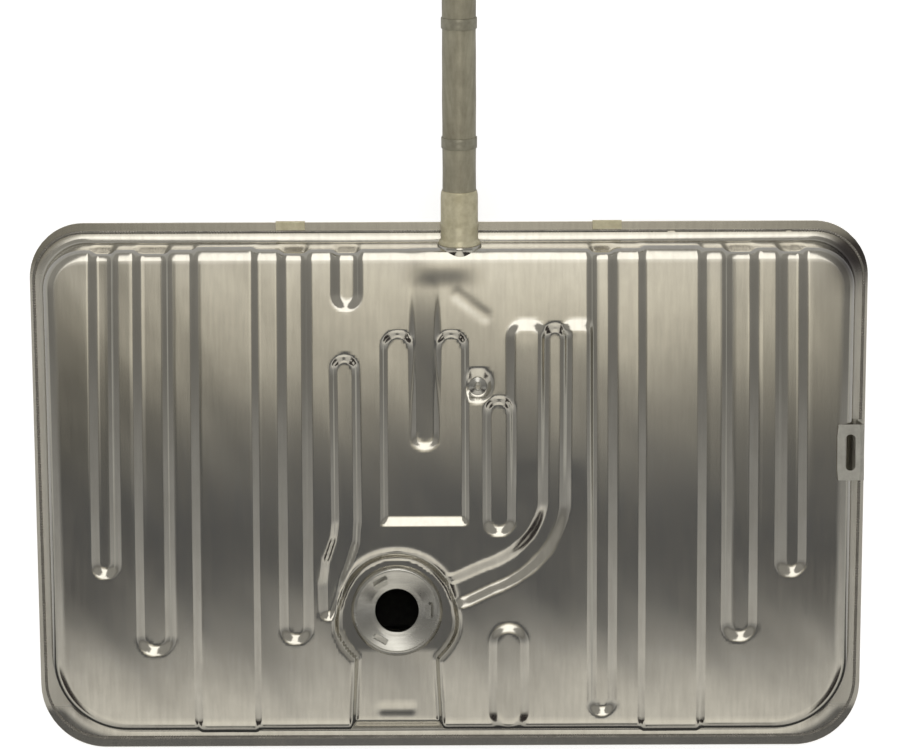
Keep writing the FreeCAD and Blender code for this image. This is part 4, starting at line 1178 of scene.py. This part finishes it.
@dataclass
class SeamWeld:
    """The track of overlapping weld marks that runs round the flange, above and below."""

    pitch: float = 3.4
    mark: Triple = (2.9, 1.9, 0.16)
    side_line: float = 5.6
    end_line: float = 12.0
    levels: Pair = (99.0, 97.0)
    half_sizes: Triple = (517.5, 509.5, 327.0)
    corners: Pair = (60.0, 72.0)

    def path(self) -> list[Vector]:
        """Corner points and arcs of the weld line in plan, in millimetres.

        Returns:
            The points, in order.
        """
        rear, front, length = self.half_sizes
        out: list[Vector] = []
        for sx, sy in ((1, 1), (-1, 1), (-1, -1), (1, -1)):
            radius = self.corners[0] if sy > 0 else self.corners[1]
            half = (rear if sy > 0 else front) - self.side_line
            centre = Vector((sx * (half - radius), sy * (length - self.end_line - radius)))
            first = math.atan2(sy, sx) - math.pi / 4
            for step in range(13):
                angle = first + math.pi / 2 * step / 12
                out.append(centre + Vector((math.cos(angle), math.sin(angle))) * radius)
        return out

    def tree(self) -> Tree:
        """Builds the node tree that repeats a mark along a line.

        Returns:
            The Geometry Nodes tree, with inputs for the spacing and the mark's sizes.
        """
        group = bpy.data.node_groups.new("weld_marks_along_line", "GeometryNodeTree")
        face = group.interface
        face.new_socket("Geometry", in_out="INPUT", socket_type="NodeSocketGeometry")
        for label in ("Spacing", "Half length", "Half width", "Rise"):
            face.new_socket(label, in_out="INPUT", socket_type="NodeSocketFloat")
        face.new_socket("Finish", in_out="INPUT", socket_type="NodeSocketMaterial")
        face.new_socket("Geometry", in_out="OUTPUT", socket_type="NodeSocketGeometry")
        new, link = group.nodes.new, group.links.new
        start, end = new("NodeGroupInput"), new("NodeGroupOutput")
        curve, even = new("GeometryNodeMeshToCurve"), new("GeometryNodeResampleCurve")
        even.mode = "LENGTH"
        link(start.outputs["Geometry"], curve.inputs["Mesh"])
        link(curve.outputs["Curve"], even.inputs["Curve"])
        link(start.outputs["Spacing"], even.inputs["Length"])
        dome = new("GeometryNodeMeshUVSphere")
        dome.inputs["Segments"].default_value = 10
        dome.inputs["Rings"].default_value = 4
        dome.inputs["Radius"].default_value = 1.0
        size = new("ShaderNodeCombineXYZ")
        for axis, label in zip("XYZ", ("Half length", "Half width", "Rise")):
            link(start.outputs[label], size.inputs[axis])
        tangent, align = new("GeometryNodeInputTangent"), new("FunctionNodeAlignRotationToVector")
        align.axis = "X"
        link(tangent.outputs[0], align.inputs["Vector"])
        place = new("GeometryNodeInstanceOnPoints")
        link(even.outputs["Curve"], place.inputs["Points"])
        link(dome.outputs["Mesh"], place.inputs["Instance"])
        link(align.outputs["Rotation"], place.inputs["Rotation"])
        link(size.outputs[0], place.inputs["Scale"])
        real, paint = new("GeometryNodeRealizeInstances"), new("GeometryNodeSetMaterial")
        link(place.outputs["Instances"], real.inputs["Geometry"])
        link(real.outputs["Geometry"], paint.inputs["Geometry"])
        link(start.outputs["Finish"], paint.inputs["Material"])
        link(paint.outputs["Geometry"], end.inputs["Geometry"])
        return group

    def build(self, name: str) -> Piece:
        """Runs the tree on the weld line at both levels and keeps the result as a mesh.

        Args:
            name: Name of the piece.

        Returns:
            The weld marks as one piece.
        """
        plan = self.path()
        points, edges = [], []
        for level in self.levels:
            first = len(points)
            points += [(p.x * MM, p.y * MM, level * MM) for p in plan]
            edges += [(first + i, first + (i + 1) % len(plan)) for i in range(len(plan))]
        line = bpy.data.meshes.new(name + "_line")
        line.from_pydata(points, edges, [])
        carrier = bpy.data.objects.new(name + "_line", line)
        bpy.context.scene.collection.objects.link(carrier)
        group = self.tree()
        repeat = carrier.modifiers.new("weld_marks", "NODES")
        repeat.node_group = group
        sizes = (self.pitch, *self.mark)
        inputs = {item.name: item.identifier for item in group.interface.items_tree if item.in_out == "INPUT"}
        for label, value in zip(("Spacing", "Half length", "Half width", "Rise"), sizes):
            repeat[inputs[label]] = value * MM
        repeat[inputs["Finish"]] = WELD.build()
        graph = bpy.context.evaluated_depsgraph_get()
        mesh = bpy.data.meshes.new_from_object(carrier.evaluated_get(graph))
        mesh.polygons.foreach_set("use_smooth", [True] * len(mesh.polygons))
        piece = bpy.data.objects.new(name, mesh)
        bpy.context.scene.collection.objects.link(piece)
        bpy.data.objects.remove(carrier)
        return piece


@dataclass
class SenderSeat:
    """The dished ring with its collar and three locking ears."""

    centre: Triple = (-65.0, -147.0, 153.0)
    bore: float = 26.5
    outside: float = 56.0
    crest: float = 50.0
    flat: float = 31.0
    lift: float = 5.0
    sheet: float = 1.5
    drop: float = 8.0
    ear: tuple[float, float, float, float] = (41.0, 17.0, 6.0, 6.0)

    def build(self) -> Piece:
        """Turns the ring and folds the ears, as one piece.

        Returns:
            The seat.
        """
        t, rise_z = self.sheet, self.lift
        profile = [
            (self.outside, 0.0), (self.outside, t * 0.6), (self.outside - 0.6, t), (self.crest + 2.6, rise_z + t - 0.9),
            (self.crest + 1.2, rise_z + t - 0.15), (self.crest, rise_z + t), (self.crest - 1.6, rise_z + t - 0.3),
            (self.flat + 3, t + 0.9), (self.flat + 0.6, t + 0.1), (self.bore + 1.1, t), (self.bore + 0.3, t - 0.35),
            (self.bore, t - 1.1), (self.bore, -self.drop), (self.bore + t, -self.drop), (self.bore + t, 0.0),
            (self.flat + t, 0.0), (self.crest - t, rise_z), (self.crest + 0.75, rise_z), (self.outside - t, 0.0),
        ]
        seat = turned("sender_seat_ring", profile, 128)
        radius, width, tall, reach = self.ear
        parts = [seat]
        for turn in range(3):
            top = rise_z + t + tall - t / 2
            line = [(radius + t / 2, 2.4), (radius + t / 2, top), (radius - reach, top)]
            ear = bent_strip(f"ear_{turn}", line, 1.6, t, width)
            settle(ear, Matrix.Rotation(math.radians(120 * turn), 4, "Z") @ UPRIGHT)
            parts.append(ear)
        seat = join(parts)
        settle(seat, Matrix.Translation(Vector(self.centre) * MM))
        return seat


def join(parts: list[Piece]) -> Piece:
    """Joins pieces into the first of them and returns it.

    Args:
        parts: The pieces.

    Returns:
        The joined piece.
    """
    with bpy.context.temp_override(active_object=parts[0], selected_editable_objects=parts):
        bpy.ops.object.join()
    return parts[0]


@dataclass
class FillerNeck:
    """Tube, soldered socket, mouth, vent tube and clips on the neck's sloping axis."""

    seat: Triple = (13.0, 302.0, 138.0)
    slope: float = 12.0
    tube: float = 20.3
    tube_wall: float = 1.2
    gap: float = 0.1
    length: float = 325.0
    spigot: float = 12.0
    socket_wall: float = 2.3
    socket_length: float = 66.0
    bead: float = 25.0
    boss: float = 27.0
    mouth: float = 38.0
    mouth_wall: float = 1.2
    mouth_depth: float = 30.0
    mouth_opening: float = 25.0
    overlap: float = 11.0
    vent: float = 4.8
    vent_offset: float = 31.0

    def axis(self) -> Matrix:
        """Turns a piece that stands on Z onto the neck's axis, in metres."""
        lean = Matrix.Rotation(math.radians(self.slope - 90.0), 4, "X")
        return Matrix.Translation(Vector(self.seat) * MM) @ lean

    def build_tube(self) -> Piece:
        """The tube, with the slight swellings that bending and handling leave.

        Returns:
            The tube.
        """
        inner = self.tube - self.tube_wall
        stations = np.linspace(1 - self.spigot, self.length, 60)
        uneven = 0.10 * np.sin(stations / 23.0) + 0.08 * np.sin(stations / 9.0 + 1.0)
        outside = [(self.tube + float(u), float(s)) for s, u in zip(stations, uneven)]
        inside = [(inner, float(s)) for s in stations[::-6]] + [(inner, 1 - self.spigot)]
        tube = turned("filler_neck_tube", outside + inside, 72)
        settle(tube, self.axis())
        return tube

    def build_socket(self) -> Piece:
        """The soldered socket with its rolled beads and a solder fillet at the boss.

        Returns:
            The socket.
        """
        inner = self.tube + self.gap
        outer = inner + self.socket_wall
        length = self.socket_length
        profile = [
            (inner, -self.spigot), (outer, -self.spigot), (outer, -0.4), (self.boss - 0.6, -0.2),
            (self.bead, 1.2), (self.bead - 0.3, 3.4), (outer + 0.4, 4.6), (outer, 6.5), (outer, 18), (outer + 0.5, 20.5),
            (outer + 0.9, 23), (outer + 0.5, 25.5), (outer, 28), (outer, length - 10), (outer - 0.15, length - 6),
            (outer - 0.8, length - 2.5), (inner + 0.9, length - 0.6), (inner + 0.1, length), (inner, length - 0.6),
        ]
        socket = turned("neck_socket_collar", profile, 72)
        settle(socket, self.axis())
        return socket

    def build_boss(self) -> Piece:
        """The drawn boss of the upper half that the socket enters.

        Returns:
            The boss.
        """
        hole = self.tube + self.gap * 2 + self.socket_wall
        profile = [
            (hole, -16), (self.boss - 1.0, -16), (self.boss - 0.4, -12), (self.boss, -8), (self.boss, -4),
            (self.boss - 0.3, -1.8), (self.boss - 1.2, -0.5), (self.boss - 2.4, 0.0), (hole, 0.0),
        ]
        boss = turned("neck_boss", profile, 72)
        settle(boss, self.axis())
        return boss

    def build_mouth(self) -> Piece:
        """The cup on the neck's end, with rolled edges and two notches for the cap.

        Returns:
            The mouth.
        """
        inner, w = self.tube + self.gap, self.mouth_wall
        back, front = self.length, self.length + self.mouth_depth
        out = self.mouth
        profile = [
            (inner, back - self.overlap), (inner + w, back - self.overlap), (inner + w, back - w - 1.5),
            (inner + w + 1.5, back - w), (out - 4, back - w), (out - 1.2, back - w + 1), (out, back + 3),
            (out, front - 3), (out - 1.0, front - 0.8), (out - 3, front), (self.mouth_opening + 1.8, front),
            (self.mouth_opening + 0.5, front - 0.6), (self.mouth_opening, front - 1.9),
            (self.mouth_opening, front - 3.6), (self.mouth_opening + w, front - 3.6),
            (self.mouth_opening + w + 0.6, front - w), (out - 3, front - w), (out - w, front - 3.2), (out - w, back + 3),
            (out - 4, back), (inner, back),
        ]
        mouth = turned("filler_mouth_cup", profile, 96)
        self._notch(mouth, front)
        settle(mouth, self.axis())
        return mouth

    def _notch(self, mouth: Piece, front: float) -> None:
        """Draws the opening's lip outwards at the two notches.

        Args:
            mouth: The turned mouth, still on Z.
            front: Height of its front face.
        """
        for vertex in mouth.data.vertices:
            x, y, z = (c / MM for c in vertex.co)
            radius = math.hypot(x, y)
            if z > front - 4.2 and radius < self.mouth_opening + 3.5:
                side = abs(math.atan2(abs(y), abs(x))) * radius
                push = 3.4 / (1 + math.exp((side - 6.0) * 2.2))
                vertex.co.x *= (radius + push) / radius
                vertex.co.y *= (radius + push) / radius

    def build_vent(self) -> Piece:
        """The thin vent tube under the neck.

        Returns:
            The vent tube.
        """
        low, high = -22.0, self.length + 8.0
        wall = self.vent - 0.9
        profile = [
            (wall, low), (self.vent - 0.2, low), (self.vent, low + 0.3), (self.vent, high - 0.3),
            (self.vent - 0.3, high), (wall, high),
        ]
        vent = turned("vent_tube_line", profile, 28)
        settle(vent, self.axis() @ Matrix.Translation((0, self.vent_offset * MM, 0)))
        return vent

    def build_clip(self, name: str, along: float) -> Piece:
        """A clip of strip steel round the neck and the vent tube.

        Args:
            name: Name of the piece.
            along: Distance of its lower edge from the neck's seat.

        Returns:
            The clip.
        """
        width, sheet = 13.0, 1.2
        parts = []
        bands = (("neck", self.tube + self.gap, 0.0), ("vent", self.vent + self.gap, self.vent_offset))
        for label, radius, shift in bands:
            outer = radius + sheet
            profile = [
                (radius, 0.3), (radius + 0.3, 0), (outer - 0.3, 0), (outer, 0.3), (outer, width - 0.3),
                (outer - 0.3, width), (radius + 0.3, width), (radius, width - 0.3),
            ]
            band = turned(f"{name}_{label}", profile, 64)
            settle(band, Matrix.Translation((0, shift * MM, 0)))
            parts.append(band)
        for side in (-1, 1):
            gap = self.vent_offset - self.vent - self.tube
            line = [(side * 3.2, self.tube + 0.6), (side * 3.2, self.tube + gap - 0.2)]
            web = bent_strip(f"{name}_web_{side}", line, 1.0, sheet, width)
            settle(web, Matrix.Translation((0, 0, width / 2 * MM)))
            parts.append(web)
        clip = join(parts)
        clip.name = name
        settle(clip, self.axis() @ Matrix.Translation((0, 0, along * MM)))
        return clip

    def dress(self) -> None:
        """Builds and hands over each piece of the neck."""
        hand_over(self.build_tube(), KHAKI, "neck_steel", "filler_neck")
        hand_over(self.build_socket(), SOLDER, "soldered_steel", "neck_socket")
        hand_over(self.build_boss(), TERNE, "coated_sheet")
        hand_over(self.build_mouth(), KHAKI, "neck_steel", "filler_mouth")
        hand_over(self.build_vent(), INNER, "plain_steel", "vent_tube")
        hand_over(self.build_clip("lower_neck_clip", 118.0), CLIP, "plain_steel", "neck_clip_lower")
        hand_over(self.build_clip("upper_neck_clip", 262.0), CLIP, "plain_steel", "neck_clip_upper")


@dataclass
class Fittings:
    """Vapour stub, strap guides, side bracket, turned lips and the parts inside."""

    seam: float = 98.0
    half_length: float = 327.0
    guide_x: float = 195.0
    guide_length: float = 36.0
    bracket_y: float = 47.0
    bracket_length: float = 68.0
    nipple: Pair = (34.5, 129.0)
    lip_start: float = 217.0
    lip_length: float = 124.0

    def build_guide(self, name: str, side: int) -> Piece:
        """The clip over the rear flange that keeps a strap in its place.

        Args:
            name: Name of the piece.
            side: -1 for the left one, 1 for the right one.

        Returns:
            The clip.
        """
        low, high, edge = -1.1 - 0.6, 1.1 + 0.6, self.half_length + 0.7
        line = [(self.half_length - 10, high), (edge, high), (edge, low), (self.half_length - 10, low)]
        guide = bent_strip(name, line, 1.0, 1.2, self.guide_length)
        settle(guide, Matrix.Translation(Vector((side * self.guide_x, 0, self.seam)) * MM) @ ACROSS)
        harden(guide, 0.25)
        return guide

    def build_bracket(self) -> Piece:
        """The bracket on the right flange, with its slotted arm as two bars and two ends.

        Returns:
            The bracket.
        """
        low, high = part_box("side_bracket")
        thick, slot = 1.6, 12.0
        foot, arm = high.x / MM - 0.8, low.x / MM
        riser = foot - 8.6
        base, top = low.z / MM + thick / 2, high.z / MM - thick / 2
        half = self.bracket_length / 2
        line = [(foot, base), (riser + thick / 2, base), (riser + thick / 2, top), (riser - 5.0, top)]
        strip = bent_strip("side_bracket_strip", line, 2.2, thick, self.bracket_length)
        settle(strip, UPRIGHT)
        plate = slotted_plate("side_bracket_plate", (arm, riser - 4.4), half, riser - 16.5, slot / 2, thick)
        settle(plate, Matrix.Translation((0, 0, top * MM)))
        bracket = join([strip, plate])
        settle(bracket, Matrix.Translation((0, self.bracket_y * MM, 0)))
        harden(bracket, 0.3)
        return bracket

    def build_nipple(self) -> Piece:
        """The vapour stub with its rounded base and hose bead.

        Returns:
            The stub.
        """
        profile = [
            (3.0, -3.0), (3.9, -3.0), (3.9, 0.0), (11.0, 0.0), (11.0, 0.6), (10.4, 1.0), (6.0, 1.7), (4.6, 2.6), (4.0, 4.0),
            (4.0, 11.4), (4.9, 12.6), (5.0, 13.2), (4.6, 14.2), (3.9, 16.0), (3.1, 16.0), (3.0, 15.6),
        ]
        stub = turned("vapour_stub", profile, 40)
        low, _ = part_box("vent_nipple")
        settle(stub, Matrix.Translation((self.nipple[0] * MM, self.nipple[1] * MM, low.z + 3.0 * MM)))
        return stub

    def build_lip(self, name: str, side: int) -> Piece:
        """A turned lip under the rear flange, where a strap passes.

        Args:
            name: Name of the piece.
            side: -1 for the left one, 1 for the right one.

        Returns:
            The lip.
        """
        start = self.lip_start if side > 0 else -(self.lip_start + self.lip_length)
        line = [(self.half_length - 6.0, -0.5), (self.half_length - 0.5, -0.5), (self.half_length - 0.5, -8.0)]
        lip = bent_strip(name, line, 1.6, 1.0, self.lip_length)
        settle(lip, Matrix.Translation(Vector((start + self.lip_length / 2, 0, self.seam)) * MM) @ ACROSS)
        harden(lip, 0.3)
        return lip

    def dress(self) -> None:
        """Builds and hands over each fitting, and finishes the parts inside."""
        hand_over(self.build_guide("left_strap_guide", -1), SOLDER, "soldered_steel", "strap_guide_left")
        hand_over(self.build_guide("right_strap_guide", 1), SOLDER, "soldered_steel", "strap_guide_right")
        hand_over(self.build_bracket(), DULL, "coated_sheet", "side_bracket")
        hand_over(self.build_nipple(), INNER, "soldered_steel", "vent_nipple")
        hand_over(self.build_lip("left_turned_lip", -1), TERNE, "coated_sheet")
        hand_over(self.build_lip("right_turned_lip", 1), TERNE, "coated_sheet")
        for node in ("baffle_left", "baffle_right", "pickup_tray"):
            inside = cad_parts[node]
            inside.data.materials.clear()
            inside.data.materials.append(FOULED.build())
            log.info("%s: finish only", node)


# Floor, light and camera


@dataclass
class Studio:
    """White floor, a room of soft light for the metal to mirror, and the photograph's camera."""

    camera_at: Triple = (0.0, 383.7, 3300.0)
    aim_at: Triple = (0.985, 142.15, 150.0)
    focal_px: float = 2596.3
    roll: float = -0.0036
    frame_px: float = 900.0
    floor_tone: float = 0.86
    camera_lift: float = 0.70
    bands: tuple[Triple, ...] = (
        (-90, 0.3, 0.5), (-82, 1.2, 0.4), (-66, 1.8, 0.3), (-12, 1.8, 0.3), (-6, 1.15, 0.6), (-3, 0.98, 1.0),
        (-1, 0.82, 1.0), (1.6, 0.51, 0.9), (4.8, 0.245, 0.4), (7.2, 0.13, -0.4), (9.0, 0.10, -0.6), (11.5, 0.085, -0.5),
        (13.5, 0.12, -0.2), (16.0, 0.44, 0.2), (18.5, 0.82, 0.5), (26, 0.95, 0.6), (50, 0.95, 0.5), (58, 0.16, 0.0),
        (67, 0.08, 0.0), (74, 0.4, 0.2), (90, 0.55, 0.2),
    )
    sides: tuple[Triple, ...] = (
        (-90, 1.0, 0.0), (-14, 0.6, 0.0), (-9.6, 0.2, 0.2), (-8.9, 0.22, 0.2), (-8.4, 0.3, 0.2), (-8, 0.42, 0.2),
        (-7.6, 0.56, 0.1), (-6.8, 0.74, 0.0), (-5, 0.86, 0.0), (-3, 0.90, 0.0), (1, 1.0, 0.0), (3, 1.06, 0.0),
        (5, 0.98, 0.0), (6.5, 0.88, 0.0), (7.4, 0.80, 0.0), (8.2, 0.68, 0.0), (8.8, 0.56, 0.0), (10, 0.42, 0.0),
        (14, 0.6, 0.0), (90, 1.0, 0.0),
    )
    side_zone: tuple[Triple, ...] = (
        (-90, 0.0, 0.0), (-9, 0.0, 0.0), (-6, 1.0, 0.0), (4, 1.0, 0.0), (9, 0.25, 0.0), (14, 0.0, 0.0), (90, 0.0, 0.0),
    )
    walls: tuple[Triple, ...] = (
        (-90, 0.35, 0.4), (-12, 0.35, 0.4), (-5, 0.3, 0.4), (-2, 0.26, 0.4), (1, 0.18, 0.3), (4, 0.27, 0.2),
        (7, 0.33, 0.1), (10, 0.35, 0.1), (13, 0.50, 0.2), (17, 0.80, 0.4), (24, 0.85, 0.5), (90, 0.4, 0.3),
    )
    wall_zone: Pair = (11.0, 16.0)
    far_zone: Pair = (66.0, 76.0)
    far_level: tuple[float, ...] = (0.5, 0.5, 0.48, 1.0)
    shade: tuple[float, ...] = (0.035, 0.03, 0.03, 1.0)
    flange_window: tuple[Pair, ...] = ((7.8, 8.6), (13.0, 11.0), (11.4, 11.9), (14.2, 13.4))
    crest_window: tuple[Pair, ...] = ((11.0, 14.0), (18.5, 21.0), (-9.0, -5.0), (21.0, 27.0))
    mirrored_floor: Pair = (0.05, 0.5)
    mirrored_edge: Pair = (-0.31, -0.22)
    floor_half: float = 9000.0
    floor_z: float = -0.4

    def build_camera(self) -> None:
        """Places the camera where the photograph was taken from."""
        data = bpy.data.cameras.new("photo_camera")
        data.sensor_width = 36.0
        data.lens = self.focal_px / self.frame_px * 36.0
        data.clip_start, data.clip_end = 0.05, 60.0
        camera = bpy.data.objects.new("photo_camera", data)
        bpy.context.scene.collection.objects.link(camera)
        at, aim = Vector(self.camera_at) * MM, Vector(self.aim_at) * MM
        back = (at - aim).normalized()
        right = Vector((0, 1, 0)).cross(back).normalized()
        above = back.cross(right)
        c, s = math.cos(self.roll), math.sin(self.roll)
        x_axis, y_axis = right * c + above * s, above * c - right * s
        turn = Matrix((x_axis, y_axis, back)).transposed().to_4x4()
        camera.matrix_world = Matrix.Translation(at) @ turn
        bpy.context.scene.camera = camera

    @staticmethod
    def _ramp(tree: Tree, angle: Socket, stops: tuple[Triple, ...]) -> Socket:
        """Turns an angle into a colour.

        Args:
            tree: The world's node tree.
            angle: The angle in radians, from -90 to 90 degrees.
            stops: Angle in degrees, brightness and warmth of each stop.

        Returns:
            The colour.
        """
        ramp = tree.nodes.new("ShaderNodeValToRGB")
        elements = ramp.color_ramp.elements
        elements.remove(elements[-1])
        for number, (degrees, level, warm) in enumerate(stops):
            place = (degrees + 90.0) / 180.0
            element = elements[0] if number == 0 else elements.new(place)
            element.position = place
            element.color = (level, level * (1 - 0.05 * warm), level * (1 - 0.18 * warm), 1.0)
        tree.links.new(lead(tree, angle, (-math.pi / 2, math.pi / 2), smooth=False), ramp.inputs["Fac"])
        return ramp.outputs["Color"]

    @staticmethod
    def _steps(tree: Tree, values: tuple[Socket, ...], edges: tuple[Pair, ...]) -> Socket:
        """The product of smooth steps over angles.

        Args:
            tree: The world's node tree.
            values: The angle in radians that each step reads.
            edges: Where each step is 0 and where it reaches 1, in degrees.

        Returns:
            The product.
        """
        ends = [(math.radians(low), math.radians(high)) for low, high in edges]
        return product(tree, *(lead(tree, value, pair) for value, pair in zip(values, ends)))

    def build_world(self) -> None:
        """Builds the room as a brightness for each direction, with plain white for the camera's own view."""
        world = bpy.data.worlds.new("soft_room")
        bpy.context.scene.world = world
        world.use_nodes = True
        tree = world.node_tree
        tree.nodes.clear()
        new, link = tree.nodes.new, tree.links.new
        split = new("ShaderNodeSeparateXYZ")
        link(new("ShaderNodeTexCoord").outputs["Generated"], split.inputs[0])
        x, y, z = split.outputs
        ahead = calculate(tree, "MULTIPLY", y, -1.0)
        tilt, aside = calculate(tree, "ARCTAN2", ahead, z), calculate(tree, "ARCTAN2", x, z)
        width, forward = calculate(tree, "ABSOLUTE", aside), calculate(tree, "ARCSINE", ahead)
        middle, zone = self._ramp(tree, tilt, self.bands), self._ramp(tree, tilt, self.side_zone)
        full = blend(tree, zone, middle, self._ramp(tree, aside, self.sides), "MULTIPLY")
        walls = self._ramp(tree, forward, self.walls)
        full = blend(tree, self._steps(tree, (width,), (self.wall_zone,)), full, walls)
        full = blend(tree, self._steps(tree, (width,), (self.far_zone,)), full, self.far_level)
        apart = calculate(tree, "MULTIPLY_ADD", forward, -1.0, width)
        for values, edges in (
            ((width, width, forward, forward), self.flange_window), ((width, forward, apart, z), self.crest_window),
        ):
            full = blend(tree, self._steps(tree, values, edges), full, self.shade)
        room, plain = new("ShaderNodeBackground"), new("ShaderNodeBackground")
        plain.inputs["Color"].default_value = (1.0, 1.0, 1.0, 1.0)
        link(full, room.inputs["Color"])
        path, mix, out = new("ShaderNodeLightPath"), new("ShaderNodeMixShader"), new("ShaderNodeOutputWorld")
        link(path.outputs["Is Camera Ray"], mix.inputs["Fac"])
        link(room.outputs[0], mix.inputs[1])
        link(plain.outputs[0], mix.inputs[2])
        link(mix.outputs[0], out.inputs["Surface"])

    def build_floor(self) -> None:
        """Lays the floor, which shows white to the camera and keeps the tank's shadow."""
        size = self.floor_half
        corners = [(x, y, self.floor_z) for x, y in ((-size, -size), (size, -size), (size, size), (-size, size))]
        floor = make_mesh("studio_floor", np.array(corners), [(0, 1, 2, 3)])
        paint = bpy.data.materials.new("matt_white_floor")
        paint.use_nodes = True
        tree = paint.node_tree
        tree.nodes.clear()
        new, link = tree.nodes.new, tree.links.new
        matt, glow, both = new("ShaderNodeBsdfDiffuse"), new("ShaderNodeEmission"), new("ShaderNodeAddShader")
        matt.inputs["Color"].default_value = (self.floor_tone, self.floor_tone, self.floor_tone, 1.0)
        path = new("ShaderNodeLightPath")
        lift = calculate(tree, "MULTIPLY", path.outputs["Is Camera Ray"], self.camera_lift)
        link(lift, glow.inputs["Strength"])
        link(matt.outputs[0], both.inputs[0])
        link(glow.outputs[0], both.inputs[1])
        split, shine = new("ShaderNodeSeparateXYZ"), new("ShaderNodeEmission")
        mix, out = new("ShaderNodeMixShader"), new("ShaderNodeOutputMaterial")
        link(new("ShaderNodeTexCoord").outputs["Object"], split.inputs[0])
        link(lead(tree, split.outputs["Y"], self.mirrored_edge, self.mirrored_floor), shine.inputs["Strength"])
        link(path.outputs["Is Glossy Ray"], mix.inputs["Fac"])
        link(both.outputs[0], mix.inputs[1])
        link(shine.outputs[0], mix.inputs[2])
        link(mix.outputs[0], out.inputs["Surface"])
        floor.data.materials.append(paint)

    def build(self) -> None:
        """Builds camera, room and floor."""
        self.build_camera()
        self.build_world()
        self.build_floor()
        bpy.context.scene.view_settings.view_transform = "Standard"


def main() -> None:
    """Builds the studio and every piece of the tank in order."""
    logging.basicConfig(level=logging.INFO, format="%(name)s %(message)s")
    Studio().build()
    top = TopHalf("upper_pressing", Face.TOP, "upper_shell")
    top.dress(top.build(), TERNE)
    bottom = BottomHalf(
        "lower_pressing", Face.BOTTOM, "lower_shell", flange_z=97.0, draft=11.0, crest=12.0, spacing=(2.6, 4.0, 18.0)
    )
    bottom.dress(bottom.build(), TERNE)
    hand_over(SeamWeld().build("seam_weld_marks"), WELD, "coated_sheet")
    hand_over(SenderSeat().build(), INNER, "plain_steel", "sender_seat")
    FillerNeck().dress()
    Fittings().dress()


if __name__ == "__main__":
    main()
